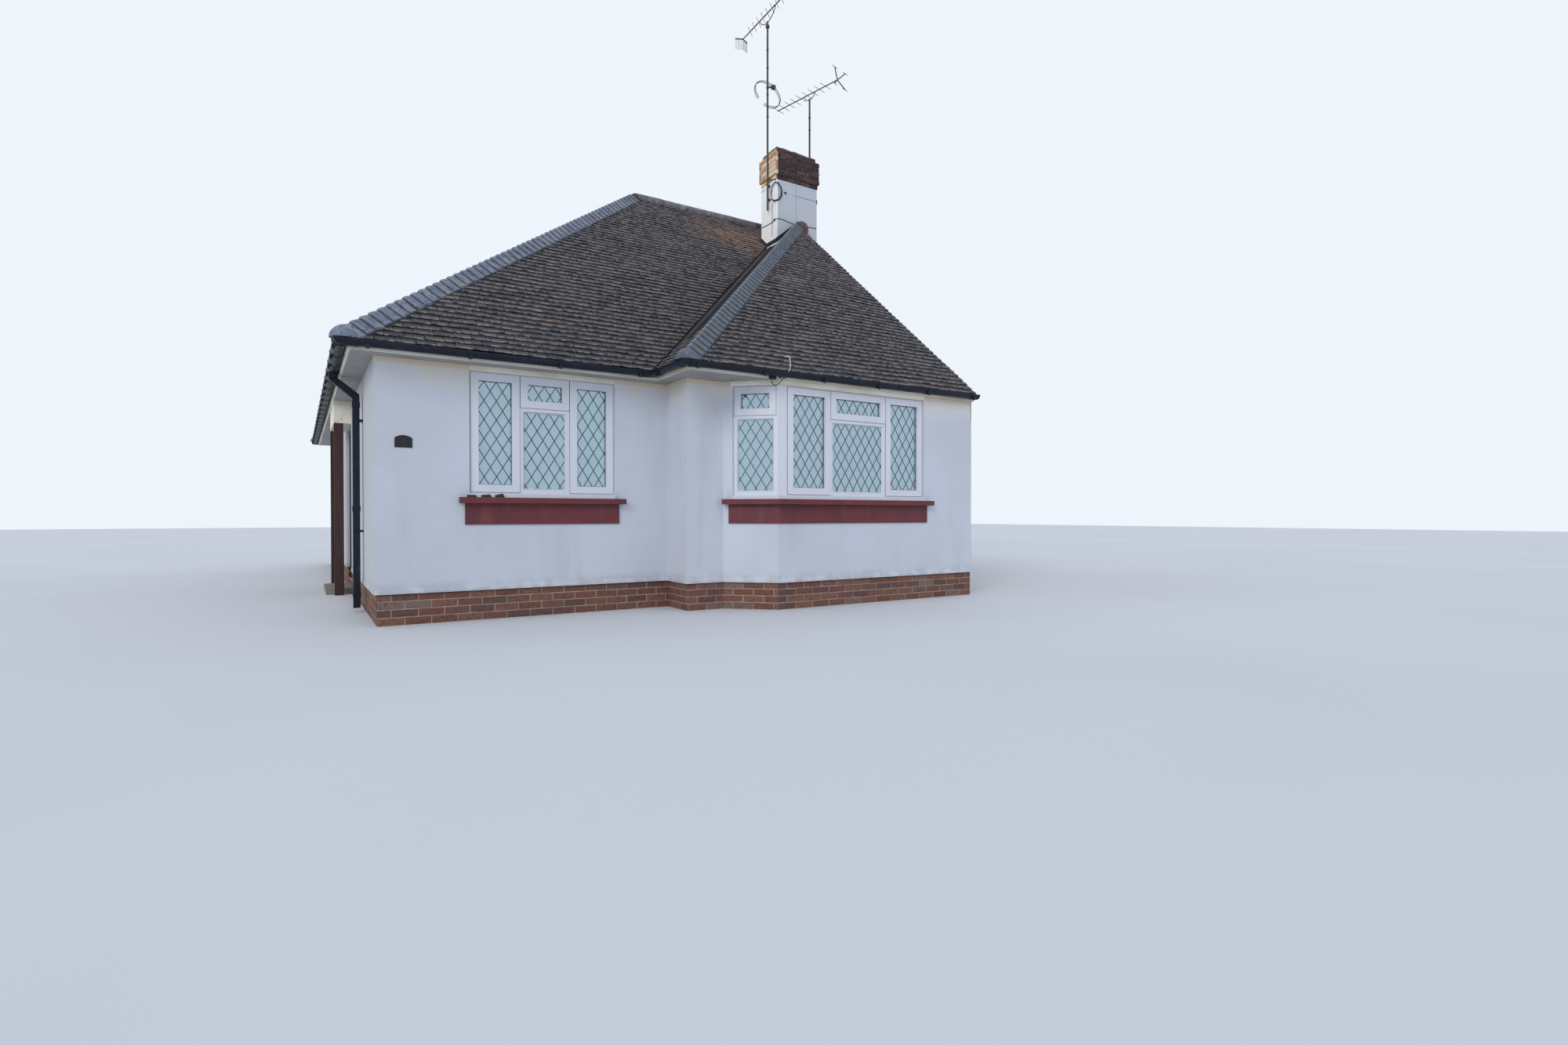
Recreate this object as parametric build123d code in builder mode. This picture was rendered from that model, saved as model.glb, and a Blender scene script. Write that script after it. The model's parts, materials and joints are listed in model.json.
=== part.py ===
from build123d import *
import math
import os

os.makedirs("parts", exist_ok=True)

# Semi-detached bungalow, from its left side to its party wall.
# Millimetres, Z up from the ground, front facing -Y, left side facing -X.
# The origin is on the ground, in the middle of the main rectangular block.

# Plan
house_width = 6600
main_depth = 8300
bay_width = 3760
return_depth = 500
bay_side_length = 435
splay_run = 430
rear_wing_width = 3300
rear_wing_depth = 2000

# Masonry
wall_thickness = 250
party_wall_thickness = 230
plinth_setback = 20
plinth_height = 295

# Rooms
floor_height = 150
ceiling_rise = 145
ceiling_thickness = 100

# Roof
roof_pitch = 40.3
roof_thickness = 45
soffit_height = 2450
fascia_height = 75
fascia_thickness = 20
soffit_thickness = 9
eaves_overhang = 210
bay_eaves_overhang = 40
tile_overhang = 50
cap_half_width = 105
hip_crown = 62
ridge_crown = 36
cap_gap = 160
cap_foot_gap = 12
valley_half_width = 85
valley_thickness = 5

# Gutters and downpipe
gutter_radius = 56
gutter_wall = 3
gutter_drop = 12
pipe_width = 65
pipe_standoff = 30
pipe_distance = 1337
pipe_foot_clearance = 45
pipe_bend_drop = 210
lower_clip_height = 833
upper_clip_drop = 469
clip_height = 22

# Windows
sill_bottom = 1125
sill_thickness = 55
cill_thickness = 40
window_head_gap = 55
sill_projection = 85
sill_horn = 95
cill_projection = 18
band_height = 205
band_projection = 15
band_margin = 42
reveal = 30
frame_depth = 70
frame_bar = 20
mullion_bar = 20
sash_bar = 66
sash_lap = 6
sash_projection = 10
bead = 22
glass_thickness = 24
vent_height = 292
front_window_width = 1443
front_window_share = 0.5755
front_casement_width = 445
bay_pier_width = 810
bay_centre_width = 775
corner_post_width = 120
corner_post_return = 5
splay_window_start = 105
rear_window_width = 1500
rear_window_start = 900
kitchen_window_width = 1200
kitchen_window_start = 1000
side_window_width = 900
side_window_start = 6300

# Side entrance
door_start = 3450
door_width = 900
door_height = 2015
door_frame_bar = 55
door_leaf_thickness = 44
door_panel_margin = 120
door_panel_depth = 10
door_knob_radius = 24
hood_margin = 150
hood_projection = 190
post_width = 103
post_thickness = 45
step_height = 75
step_depth = 300

# Number plate
plate_start = 165
plate_width = 146
plate_height = 112
plate_bottom = 1628
plate_thickness = 6
plate_rim = 8

# Chimney
stack_width = 830
stack_depth = 475
stack_gap = 40
course_height = 75
head_rise = 360
head_courses = 5
head_projection = 25
top_step = 45
flaunching_height = 40
flaunching_slope = 110

# Aerials
mast_radius = 16
mast_clearance = 4
bracket_height = 40
bracket_drops = (310, 80)
tall_mast_drop = 470
tall_mast_length = 3120
tall_mast_distance = 200
cradle_rise = 200
tall_boom_back = 835
tall_boom_front = 890
boom_radius = 9
cradle_radius = 7
cradle_reach = 260
cradle_sag = 40
rod_radius = 4
tall_rod_half_length = 85
tall_rod_lean = 32
tall_rod_count = 11
slat_half_width = 125
slat_rise = 62
slat_thickness = 6
curtain_rod_length = 190
curtain_rod_pairs = 4
ring_drop = 1170
ring_radius = 245
ring_tube = 6
ring_gap = 34
ring_tilt = 75
ring_opening = (205, 235)
feed_angle = 37
feed_size = 60
feed_arm_rise = 120
clamp_wall = 8
short_mast_drop = 440
short_mast_length = 2125
short_mast_distance = 280
short_boom_back = 790
short_boom_front = 640
short_boom_turn = 13
short_boom_rise = 110
short_cradle_reach = 130
short_rod_half_length = 140
short_rod_count = 9
cross_arm = 140
cross_forward = 60

# Planes and lines that the sizes above give
left_x = -house_width / 2
party_x = house_width / 2
front_y = -main_depth / 2
rear_y = main_depth / 2
return_x = party_x - bay_width
recess_length = return_x - left_x
bay_side_y = front_y - return_depth
splay_start_x = return_x + bay_side_length
splay_end_x = splay_start_x + splay_run
bay_front_y = bay_side_y - splay_run
wing_x = left_x + rear_wing_width
wing_rear_y = rear_y + rear_wing_depth
slope = math.tan(math.radians(roof_pitch))
roof_drop = roof_thickness / math.cos(math.radians(roof_pitch))
roof_line = soffit_height + fascia_height + roof_drop
ceiling_bottom = soffit_height + ceiling_rise
window_head = soffit_height - window_head_gap
bay_front_length = party_x - splay_end_x
bay_window_width = bay_front_length - corner_post_width - bay_pier_width
high_enough = 9000
splay_mitre = math.tan(math.radians(22.5))
splay_length = splay_run * math.sqrt(2)
hip_slope = slope / math.hypot(slope, math.sqrt(2))


def eaves_outline(inset):
    """Plan corners of the eaves, moved in from the front of the fascia boards."""
    left = left_x - eaves_overhang + inset
    front = front_y - eaves_overhang + inset
    bay_left = return_x - eaves_overhang + inset
    bay_front = bay_front_y - bay_eaves_overhang + inset
    rear = rear_y + eaves_overhang - inset
    wing_right = wing_x + eaves_overhang - inset
    wing_rear = wing_rear_y + eaves_overhang - inset
    return [
        (party_x, bay_front), (bay_left, bay_front), (bay_left, front), (left, front),
        (left, wing_rear), (wing_right, wing_rear), (wing_right, rear), (party_x, rear),
    ]


def wall_outline(right_x):
    """Plan corners of the outer wall faces, from the front round to the party side."""
    return [
        (left_x, front_y), (return_x, front_y), (return_x, bay_side_y),
        (splay_start_x, bay_side_y), (splay_end_x, bay_front_y), (right_x, bay_front_y),
        (right_x, rear_y), (wing_x, rear_y), (wing_x, wing_rear_y), (left_x, wing_rear_y),
    ]


def offset_path(points, distance):
    """Plan path moved to its right by a distance, mitred at its corners."""
    headings = []
    for start, end in zip(points, points[1:]):
        headings.append((Vector(*end) - Vector(*start)).normalized())
    moved = []
    for index, point in enumerate(points):
        before = headings[max(index - 1, 0)]
        after = headings[min(index, len(headings) - 1)]
        right_before = Vector(before.Y, -before.X)
        right_after = Vector(after.Y, -after.X)
        share = distance / (1 + right_before.dot(right_after))
        place = Vector(*point) + (right_before + right_after) * share
        moved.append((place.X, place.Y))
    return moved


def strip(path, outward, inward, bottom, top):
    """Upright strip that follows a wall line, between two offsets and two heights."""
    outline = offset_path(path, outward) + offset_path(path, -inward)[::-1]
    return upright(outline, bottom, top)


def upright(outline, bottom, top):
    """Plan outline raised from one height to another."""
    with BuildPart() as block:
        with BuildSketch(Plane.XY.offset(bottom)):
            with BuildLine():
                Polyline(*outline, close=True)
            make_face()
        extrude(amount=top - bottom)
    return block.part


def write(name, solids):
    """One named piece made of the given solids, written under its name."""
    with BuildPart() as piece:
        for solid in solids:
            add(solid)
    piece.part.label = name
    export_step(piece.part, f"parts/{name}.step")


def slope_plane(edge_point, out):
    """Top plane of a slope through an eaves point; out is the way that the slope faces."""
    rise = math.radians(roof_pitch)
    normal = (out[0] * math.sin(rise), out[1] * math.sin(rise), math.cos(rise))
    origin = (edge_point[0], edge_point[1], roof_line)
    return Plane(origin=origin, x_dir=(-out[1], out[0], 0), z_dir=normal)


def under_slopes(outline, bottom, slopes):
    """Upright block over a plan outline, cut off where it meets the underside of each slope."""
    with BuildPart() as block:
        add(upright(outline, bottom, high_enough))
        for top in slopes:
            split(bisect_by=top.offset(-roof_thickness), keep=Keep.BOTTOM)
    return block.part


def roof_slope(outline, top):
    """Tiled slope over a plan outline, between its top plane and its underside."""
    with BuildPart() as slab:
        add(upright(outline, soffit_height, high_enough))
        split(bisect_by=top, keep=Keep.BOTTOM)
        split(bisect_by=top.offset(-roof_thickness), keep=Keep.TOP)
    return slab.part


eaves = eaves_outline(0)
front_slope = slope_plane(eaves[3], (0, -1))
left_slope = slope_plane(eaves[3], (-1, 0))
rear_slope = slope_plane(eaves[6], (0, 1))
bay_front_slope = slope_plane(eaves[1], (0, -1))
bay_left_slope = slope_plane(eaves[1], (-1, 0))
wing_right_slope = slope_plane(eaves[5], (1, 0))
wing_rear_slope = slope_plane(eaves[5], (0, 1))
bay_slopes = [bay_front_slope, bay_left_slope]

# Edges of the tiles, and the points where hips, valleys and ridges meet. Where the bay's
# roof is the higher one, it runs on over the main ridge.
tile_edges = eaves_outline(-tile_overhang)
tile_left, tile_front = tile_edges[3]
bay_tile_left, bay_tile_front = tile_edges[1]
wing_tile_right, wing_tile_rear = tile_edges[5]
tile_rear = tile_edges[6][1]
ridge_y = (tile_front + tile_rear) / 2
main_apex = (tile_left + tile_rear - ridge_y, ridge_y)
bay_apex = (party_x, bay_tile_front + party_x - bay_tile_left)
bay_valley_foot = (bay_tile_left, tile_front)
bay_half = party_x - bay_tile_left
main_half = ridge_y - tile_front
ridge_end = (party_x, ridge_y)
bay_valley_top = (party_x, tile_front + bay_half)
front_slope_top = [bay_valley_top, ridge_end]
rear_slope_top = [ridge_end]
bay_slope_back = [bay_valley_top]
if bay_half > main_half:
    ridge_end = (bay_tile_left + main_half, ridge_y)
    bay_valley_top = ridge_end
    bay_ridge_back = (party_x, tile_rear - bay_half)
    front_slope_top = [ridge_end]
    rear_slope_top = [ridge_end, bay_ridge_back]
    bay_slope_back = [bay_ridge_back, ridge_end]
wing_ridge_x = (tile_left + wing_tile_right) / 2
wing_half = wing_ridge_x - tile_left
wing_apex = (wing_ridge_x, wing_tile_rear - wing_half)
wing_valley_foot = (wing_tile_right, tile_rear)
wing_valley_top = (wing_ridge_x, tile_rear - wing_half)


def slope_height(run):
    """Height of a slope's top this far in from the edge of the tiles."""
    return roof_line + (run - tile_overhang) * slope


ridge_height = slope_height(ridge_y - tile_front)
wing_ridge_height = slope_height(wing_half)
edge_height = slope_height(0)
head_bottom = ridge_height + head_rise

# Chimney stack's place, centred on the party line close behind the bay's apex
stack_left = party_x - stack_width / 2
stack_right = party_x + stack_width / 2
stack_front_y = bay_apex[1] + stack_gap
stack_rear_y = stack_front_y + stack_depth
stack_outline = [
    (stack_left, stack_front_y), (stack_right, stack_front_y),
    (stack_right, stack_rear_y), (stack_left, stack_rear_y),
]


# Wall lines, and the places of the windows and the side door along them
def plan_box(x0, y0, x1, y1):
    """Corners of a rectangle in plan."""
    return [(x0, y0), (x1, y0), (x1, y1), (x0, y1)]


def wall_point(start, end, distance):
    """Point at a distance along a wall line."""
    line = Vector(*end) - Vector(*start)
    place = Vector(*start) + line.normalized() * distance
    return (place.X, place.Y)


def wall_stretch(start, end, distance, width):
    """Two points on a wall line, a width apart."""
    return [wall_point(start, end, distance), wall_point(start, end, distance + width)]


front_path = [(left_x, front_y), (return_x, front_y)]
splay_path = [(splay_start_x, bay_side_y), (splay_end_x, bay_front_y)]
bay_path = [(splay_end_x, bay_front_y), (party_x, bay_front_y)]
rear_path = [(party_x, rear_y), (wing_x, rear_y)]
kitchen_path = [(wing_x, wing_rear_y), (left_x, wing_rear_y)]
side_path = [(left_x, wing_rear_y), (left_x, front_y)]
side_length = main_depth + rear_wing_depth

front_window_start = front_window_share * (recess_length - front_window_width)
front_window = wall_stretch(*front_path, front_window_start, front_window_width)
bay_window = wall_stretch(*bay_path, corner_post_width, bay_window_width)
post_shoulder = reveal * splay_mitre + corner_post_return
splay_glazed = splay_length - splay_window_start - post_shoulder
splay_window = wall_stretch(*splay_path, splay_window_start, splay_glazed)
bay_opening = [splay_window[0], splay_path[1], bay_window[1]]
rear_window = wall_stretch(*rear_path, rear_window_start, rear_window_width)
kitchen_window = wall_stretch(*kitchen_path, kitchen_window_start, kitchen_window_width)
side_window = wall_stretch(
    *side_path, side_length - side_window_start - side_window_width, side_window_width
)
side_door_place = wall_stretch(*side_path, side_length - door_start - door_width, door_width)
door_hole = strip(
    side_door_place, wall_thickness, 2 * wall_thickness, floor_height, floor_height + door_height
)


# Brick plinth and ground floor
def plan_sketch(inset):
    """Plan of the house moved in from its outer wall faces, but flush at the party side."""
    with BuildSketch() as plan:
        with BuildLine():
            Polyline(*wall_outline(party_x + plinth_setback), close=True)
        make_face()
        offset(amount=-inset, kind=Kind.INTERSECTION)
    return plan.sketch


plinth_outside = plan_sketch(plinth_setback)
rooms_plan = plan_sketch(wall_thickness)
stack_shaft = upright(stack_outline, 0, head_bottom)

with BuildPart() as brick_plinth:
    with BuildSketch():
        add(plinth_outside)
        add(rooms_plan, mode=Mode.SUBTRACT)
    extrude(amount=plinth_height)
    add(stack_shaft, mode=Mode.SUBTRACT)
    add(door_hole, mode=Mode.SUBTRACT)
brick_plinth.part.label = "brick_plinth"
export_step(brick_plinth.part, "parts/brick_plinth.step")

with BuildPart() as ground_floor:
    with BuildSketch():
        add(rooms_plan)
    extrude(amount=floor_height)
    add(stack_shaft, mode=Mode.SUBTRACT)
ground_floor.part.label = "ground_floor"
export_step(ground_floor.part, "parts/ground_floor.step")

with BuildPart() as ceiling:
    with BuildSketch(Plane.XY.offset(ceiling_bottom)):
        add(rooms_plan)
    extrude(amount=ceiling_thickness)
    add(stack_shaft, mode=Mode.SUBTRACT)
ceiling.part.label = "ceiling"
export_step(ceiling.part, "parts/ceiling.step")


# Rendered walls, butted at the corners and mitred round the splay
def window_hole(path):
    """Opening through a wall, from the underside of the sill to the window's head."""
    return strip(path, wall_thickness, 2 * wall_thickness, sill_bottom, window_head)


def wall(outline, slopes, holes):
    """Rendered wall from the plinth to the underside of the roof, with its openings."""
    block = under_slopes(outline, plinth_height, slopes)
    with BuildPart() as piece:
        add(block)
        for hole in holes:
            add(hole, mode=Mode.SUBTRACT)
    return piece.part


write("front_wall", [wall(
    plan_box(left_x, front_y, return_x, front_y + wall_thickness),
    [front_slope, left_slope],
    [window_hole(front_window)],
)])

inner_mitre = wall_thickness * splay_mitre
write("return_wall", [wall(
    [
        (return_x, bay_side_y),
        (splay_start_x, bay_side_y),
        (splay_start_x + inner_mitre, bay_side_y + wall_thickness),
        (return_x + wall_thickness, bay_side_y + wall_thickness),
        (return_x + wall_thickness, front_y + wall_thickness),
        (return_x, front_y + wall_thickness),
    ],
    bay_slopes,
    [],
)])
write("bay_splay_wall", [wall(
    [
        (splay_start_x, bay_side_y),
        (splay_end_x, bay_front_y),
        (splay_end_x + inner_mitre, bay_front_y + wall_thickness),
        (splay_start_x + inner_mitre, bay_side_y + wall_thickness),
    ],
    bay_slopes,
    [window_hole(bay_opening)],
)])
write("bay_front_wall", [wall(
    [
        (splay_end_x, bay_front_y),
        (party_x, bay_front_y),
        (party_x, bay_front_y + wall_thickness),
        (splay_end_x + inner_mitre, bay_front_y + wall_thickness),
    ],
    bay_slopes,
    [window_hole(bay_opening)],
)])

write("left_wall", [wall(
    plan_box(left_x, front_y + wall_thickness, left_x + wall_thickness, wing_rear_y),
    [left_slope, wing_rear_slope],
    [door_hole, window_hole(side_window)],
)])
write("kitchen_end_wall", [wall(
    plan_box(left_x + wall_thickness, wing_rear_y - wall_thickness, wing_x, wing_rear_y),
    [wing_rear_slope, wing_right_slope],
    [window_hole(kitchen_window)],
)])
write("kitchen_side_wall", [wall(
    plan_box(
        wing_x - wall_thickness, rear_y - wall_thickness, wing_x, wing_rear_y - wall_thickness
    ),
    [wing_right_slope],
    [],
)])
write("rear_wall", [wall(
    plan_box(wing_x, rear_y - wall_thickness, party_x, rear_y),
    [rear_slope],
    [window_hole(rear_window)],
)])

# Party wall, butted behind the front and rear walls, in two stretches beside the chimney breast
party_inner_x = party_x - party_wall_thickness
party_front = wall(
    plan_box(party_inner_x, bay_front_y + wall_thickness, party_x, stack_front_y), bay_slopes, []
)
party_rear = wall(
    plan_box(party_inner_x, stack_rear_y, party_x, rear_y - wall_thickness),
    [front_slope, rear_slope],
    [],
)
write("party_wall", [party_front, party_rear])

# Chimney: a rendered stack from the ground, with an oversailing brick head
write("chimney_stack", [stack_shaft])

stack_centre = (party_x, (stack_front_y + stack_rear_y) / 2)
body_bottom = head_bottom + course_height
body_top = body_bottom + head_courses * course_height
head_top = body_top + course_height

with BuildPart() as chimney_head:
    with BuildSketch(Plane.XY.offset(head_bottom)):
        with Locations(stack_centre):
            Rectangle(stack_width, stack_depth)
    extrude(amount=course_height)
    with BuildSketch(Plane.XY.offset(body_bottom)):
        with Locations(stack_centre):
            Rectangle(stack_width + 2 * head_projection, stack_depth + 2 * head_projection)
    extrude(amount=body_top - body_bottom)
    with BuildSketch(Plane.XY.offset(body_top)):
        with Locations(stack_centre):
            Rectangle(stack_width - top_step, stack_depth - top_step)
    extrude(amount=course_height)
    with BuildSketch(Plane.XY.offset(head_top)):
        with Locations(stack_centre):
            Rectangle(stack_width - top_step, stack_depth - top_step)
    with BuildSketch(Plane.XY.offset(head_top + flaunching_height)):
        with Locations(stack_centre):
            Rectangle(
                stack_width - top_step - 2 * flaunching_slope,
                stack_depth - top_step - 2 * flaunching_slope,
            )
    loft()
chimney_head.part.label = "chimney_head"
export_step(chimney_head.part, "parts/chimney_head.step")


# Roof slopes, mitred in upright planes at the hips, valleys and ridges
def tiled(outline, top):
    """Roof slope with the chimney's hole."""
    slab = roof_slope(outline, top)
    with BuildPart() as piece:
        add(slab)
        add(stack_shaft, mode=Mode.SUBTRACT)
    return piece.part


write("roof_front", [tiled(
    [(tile_left, tile_front), bay_valley_foot, *front_slope_top, main_apex],
    front_slope,
)])
write("roof_left", [tiled(
    [(tile_left, tile_front), main_apex, wing_valley_top, wing_apex, (tile_left, wing_tile_rear)],
    left_slope,
)])
write("roof_rear", [tiled(
    [main_apex, *rear_slope_top, (party_x, tile_rear), wing_valley_foot, wing_valley_top],
    rear_slope,
)])
write("bay_roof_front", [tiled(
    [(bay_tile_left, bay_tile_front), (party_x, bay_tile_front), bay_apex],
    bay_front_slope,
)])
write("bay_roof_left", [tiled(
    [(bay_tile_left, bay_tile_front), bay_apex, *bay_slope_back, bay_valley_foot],
    bay_left_slope,
)])
write("kitchen_roof_right", [tiled(
    [wing_valley_top, wing_valley_foot, (wing_tile_right, wing_tile_rear), wing_apex],
    wing_right_slope,
)])
write("kitchen_roof_end", [tiled(
    [(tile_left, wing_tile_rear), wing_apex, (wing_tile_right, wing_tile_rear)],
    wing_rear_slope,
)])


# Hip and ridge tiles, as a rounded cap bedded over each meeting of two slopes
def cap(start, end, fall, crown):
    """Cap over the line from start to end; fall is how steeply its underside drops sideways."""
    line = Vector(*end) - Vector(*start)
    across = Vector(-line.Y, line.X, 0).normalized()
    wing_drop = cap_half_width * fall
    with BuildPart() as tile:
        with BuildSketch(Plane(origin=start, x_dir=across, z_dir=line)):
            with BuildLine():
                Polyline(
                    (-cap_half_width, -wing_drop), (0, 0), (cap_half_width, -wing_drop)
                )
                ThreePointArc(
                    (cap_half_width, -wing_drop), (0, crown), (-cap_half_width, -wing_drop)
                )
            make_face()
        extrude(amount=line.length)
    return tile.part


def hip_cap(foot, top, foot_height):
    """Cap on a hip between two plan points, stopped short of both and cut at the chimney."""
    run = abs(top[0] - foot[0])
    hip = Vector(top[0] - foot[0], top[1] - foot[1], run * slope)
    start = Vector(*foot, foot_height) + hip.normalized() * cap_foot_gap
    end = Vector(*foot, foot_height) + hip - hip.normalized() * cap_gap
    whole = cap(tuple(start), tuple(end), hip_slope, hip_crown)
    with BuildPart() as tiles:
        add(whole)
        add(stack_shaft, mode=Mode.SUBTRACT)
    return tiles.part


write("hip_tiles_front", [hip_cap((tile_left, tile_front), main_apex, edge_height)])
write("hip_tiles_bay", [hip_cap((bay_tile_left, bay_tile_front), bay_apex, edge_height)])
write("hip_tiles_rear", [
    hip_cap(wing_valley_top, main_apex, wing_ridge_height),
    hip_cap((tile_left, wing_tile_rear), wing_apex, edge_height),
    hip_cap((wing_tile_right, wing_tile_rear), wing_apex, edge_height),
])

main_ridge = cap((*main_apex, ridge_height), (*ridge_end, ridge_height), slope, ridge_crown)
kitchen_ridge = cap(
    (*wing_apex, wing_ridge_height),
    (wing_ridge_x, wing_valley_top[1] + cap_gap, wing_ridge_height),
    slope,
    ridge_crown,
)
write("ridge_tiles", [main_ridge, kitchen_ridge])


# Valleys, as a thin trough laid on the two slopes
def valley(foot, top):
    """Trough along a valley between two plan points at the foot and head of the valley."""
    run = abs(top[0] - foot[0]) - cap_gap
    step_x = math.copysign(run, top[0] - foot[0])
    step_y = math.copysign(run, top[1] - foot[1])
    start = Vector(*foot, edge_height)
    end = Vector(foot[0] + step_x, foot[1] + step_y, edge_height + run * slope)
    line = end - start
    across = Vector(-line.Y, line.X, 0).normalized()
    side_rise = valley_half_width * hip_slope
    with BuildPart() as trough:
        with BuildSketch(Plane(origin=start, x_dir=across, z_dir=line)):
            with BuildLine():
                Polyline(
                    (-valley_half_width, side_rise), (0, 0), (valley_half_width, side_rise),
                    (valley_half_width, side_rise + valley_thickness), (0, valley_thickness),
                    (-valley_half_width, side_rise + valley_thickness), close=True,
                )
            make_face()
        extrude(amount=line.length)
    return trough.part


bay_valley = valley(bay_valley_foot, bay_valley_top)
kitchen_valley = valley(wing_valley_foot, wing_valley_top)
with BuildPart() as valley_troughs:
    add(bay_valley)
    add(kitchen_valley)
    add(stack_shaft, mode=Mode.SUBTRACT)
valley_troughs.part.label = "valley_troughs"
export_step(valley_troughs.part, "parts/valley_troughs.step")

# Fascia boards and soffits
with BuildPart() as fascia:
    with BuildSketch(Plane.XY.offset(soffit_height - soffit_thickness)):
        with BuildLine():
            Polyline(*eaves_outline(0), close=True)
        make_face()
        with BuildLine():
            Polyline(*eaves_outline(fascia_thickness), close=True)
        make_face(mode=Mode.SUBTRACT)
    extrude(amount=fascia_height + soffit_thickness)
fascia.part.label = "fascia"
export_step(fascia.part, "parts/fascia.step")

with BuildPart() as soffit:
    with BuildSketch(Plane.XY.offset(soffit_height - soffit_thickness)):
        with BuildLine():
            Polyline(*eaves_outline(fascia_thickness), close=True)
        make_face()
        with BuildLine():
            Polyline(*wall_outline(party_x), close=True)
        make_face(mode=Mode.SUBTRACT)
    extrude(amount=soffit_thickness)
soffit.part.label = "soffit"
export_step(soffit.part, "parts/soffit.step")

# Half-round gutter hung along the fascia
gutter_centre = soffit_height + fascia_height - gutter_drop
gutter_line = eaves_outline(-gutter_radius)
gutter_start = (*gutter_line[0], gutter_centre)
with BuildPart() as gutter:
    with BuildLine() as gutter_run:
        Polyline(*[(x, y, gutter_centre) for x, y in gutter_line])
    with BuildSketch(Plane(origin=gutter_start, x_dir=(0, -1, 0), z_dir=(-1, 0, 0))):
        with BuildLine():
            ThreePointArc((-gutter_radius, 0), (0, -gutter_radius), (gutter_radius, 0))
            Line((gutter_radius, 0), (gutter_radius - gutter_wall, 0))
            ThreePointArc(
                (gutter_radius - gutter_wall, 0),
                (0, gutter_wall - gutter_radius),
                (gutter_wall - gutter_radius, 0),
            )
            Line((gutter_wall - gutter_radius, 0), (-gutter_radius, 0))
        make_face()
    sweep(path=gutter_run.line, transition=Transition.RIGHT)
gutter.part.label = "gutter"
export_step(gutter.part, "parts/gutter.step")

# Square downpipe on the left wall, with its swan neck and clips
pipe_y = front_y + pipe_distance
pipe_x = left_x - pipe_standoff - pipe_width / 2
pipe_bend_height = soffit_height - pipe_bend_drop
outlet_x = left_x - eaves_overhang - gutter_radius
outlet_top = gutter_centre - gutter_radius
with BuildPart() as downpipe:
    with BuildSketch(Plane.XZ.offset(-pipe_y - pipe_width / 2)):
        with BuildLine():
            Polyline(
                (pipe_x - pipe_width / 2, pipe_foot_clearance),
                (pipe_x + pipe_width / 2, pipe_foot_clearance),
                (pipe_x + pipe_width / 2, pipe_bend_height + pipe_width / 3),
                (outlet_x + pipe_width / 2, outlet_top - pipe_width / 2),
                (outlet_x + pipe_width / 2, outlet_top),
                (outlet_x - pipe_width / 2, outlet_top),
                (outlet_x - pipe_width / 2, outlet_top - pipe_width),
                (pipe_x - pipe_width / 2, pipe_bend_height - pipe_width / 3),
                close=True,
            )
        make_face()
    extrude(amount=pipe_width)
    for height in (lower_clip_height, soffit_height - upper_clip_drop):
        with BuildSketch(Plane.XY.offset(height)):
            with Locations((left_x - pipe_standoff / 2, pipe_y)):
                Rectangle(pipe_standoff, pipe_width + 2 * clip_height)
        extrude(amount=clip_height)
downpipe.part.label = "downpipe"
export_step(downpipe.part, "parts/downpipe.step")


# Windows
def glazing(width, height, lights):
    """Sashes and fixed panes as (x, y, width, height), from the frame's lower left corner."""
    sashes = []
    fixed = []
    across = frame_bar
    inner_height = height - 2 * frame_bar
    for kind, light_width in lights:
        if kind == "casement":
            sashes.append((across, frame_bar, light_width, inner_height))
        else:
            vent_bottom = height - frame_bar - vent_height
            sashes.append((across, vent_bottom, light_width, vent_height))
            fixed_height = vent_bottom - mullion_bar - frame_bar
            fixed.append((across, frame_bar, light_width, fixed_height))
        across += light_width + mullion_bar
    return sashes, fixed


def inset(rectangle, amount):
    """Rectangle moved in on all four sides."""
    x, y, width, height = rectangle
    return (x + amount, y + amount, width - 2 * amount, height - 2 * amount)


def draw_rectangles(rectangles):
    """Rectangles drawn in the sketch that is open."""
    for x, y, width, height in rectangles:
        with Locations((x + width / 2, y + height / 2)):
            Rectangle(width, height)


def window(path, lights):
    """White frame with its cill, and the panes, in the wall line's opening."""
    start = Vector(*path[0])
    line = Vector(*path[1]) - start
    bottom = sill_bottom + sill_thickness + cill_thickness
    height = window_head - bottom
    out = Vector(line.Y, -line.X)
    face = Plane(origin=(start.X, start.Y, bottom), x_dir=line, z_dir=out)
    sashes, fixed = glazing(line.length, height, lights)
    panes = [inset(sash, sash_bar) for sash in sashes] + [inset(pane, bead) for pane in fixed]
    cill = strip(path, cill_projection, reveal + frame_depth, bottom - cill_thickness, bottom)
    with BuildPart() as frame:
        add(cill)
        with BuildSketch(face.offset(-reveal - frame_depth)):
            draw_rectangles([(0, 0, line.length, height)])
        extrude(amount=frame_depth)
        with BuildSketch(face.offset(-reveal)):
            draw_rectangles([inset(sash, -sash_lap) for sash in sashes])
        extrude(amount=sash_projection)
        with BuildSketch(face):
            draw_rectangles(panes)
        extrude(amount=-reveal - frame_depth, mode=Mode.SUBTRACT)
    with BuildPart() as glass:
        with BuildSketch(face.offset(-reveal - (frame_depth + glass_thickness) / 2)):
            draw_rectangles(panes)
        extrude(amount=glass_thickness)
    return frame.part, glass.part


def centre_light(width, casement_width):
    """Width that is left between two casements."""
    return width - 2 * (frame_bar + casement_width + mullion_bar)


def three_lights(width, casement_width):
    """A casement each side of a vent over a fixed pane."""
    return [
        ("casement", casement_width),
        ("vent", centre_light(width, casement_width)),
        ("casement", casement_width),
    ]


def two_casements(width):
    """Two equal casements side by side."""
    casement_width = (width - 2 * frame_bar - mullion_bar) / 2
    return [("casement", casement_width), ("casement", casement_width)]


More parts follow.
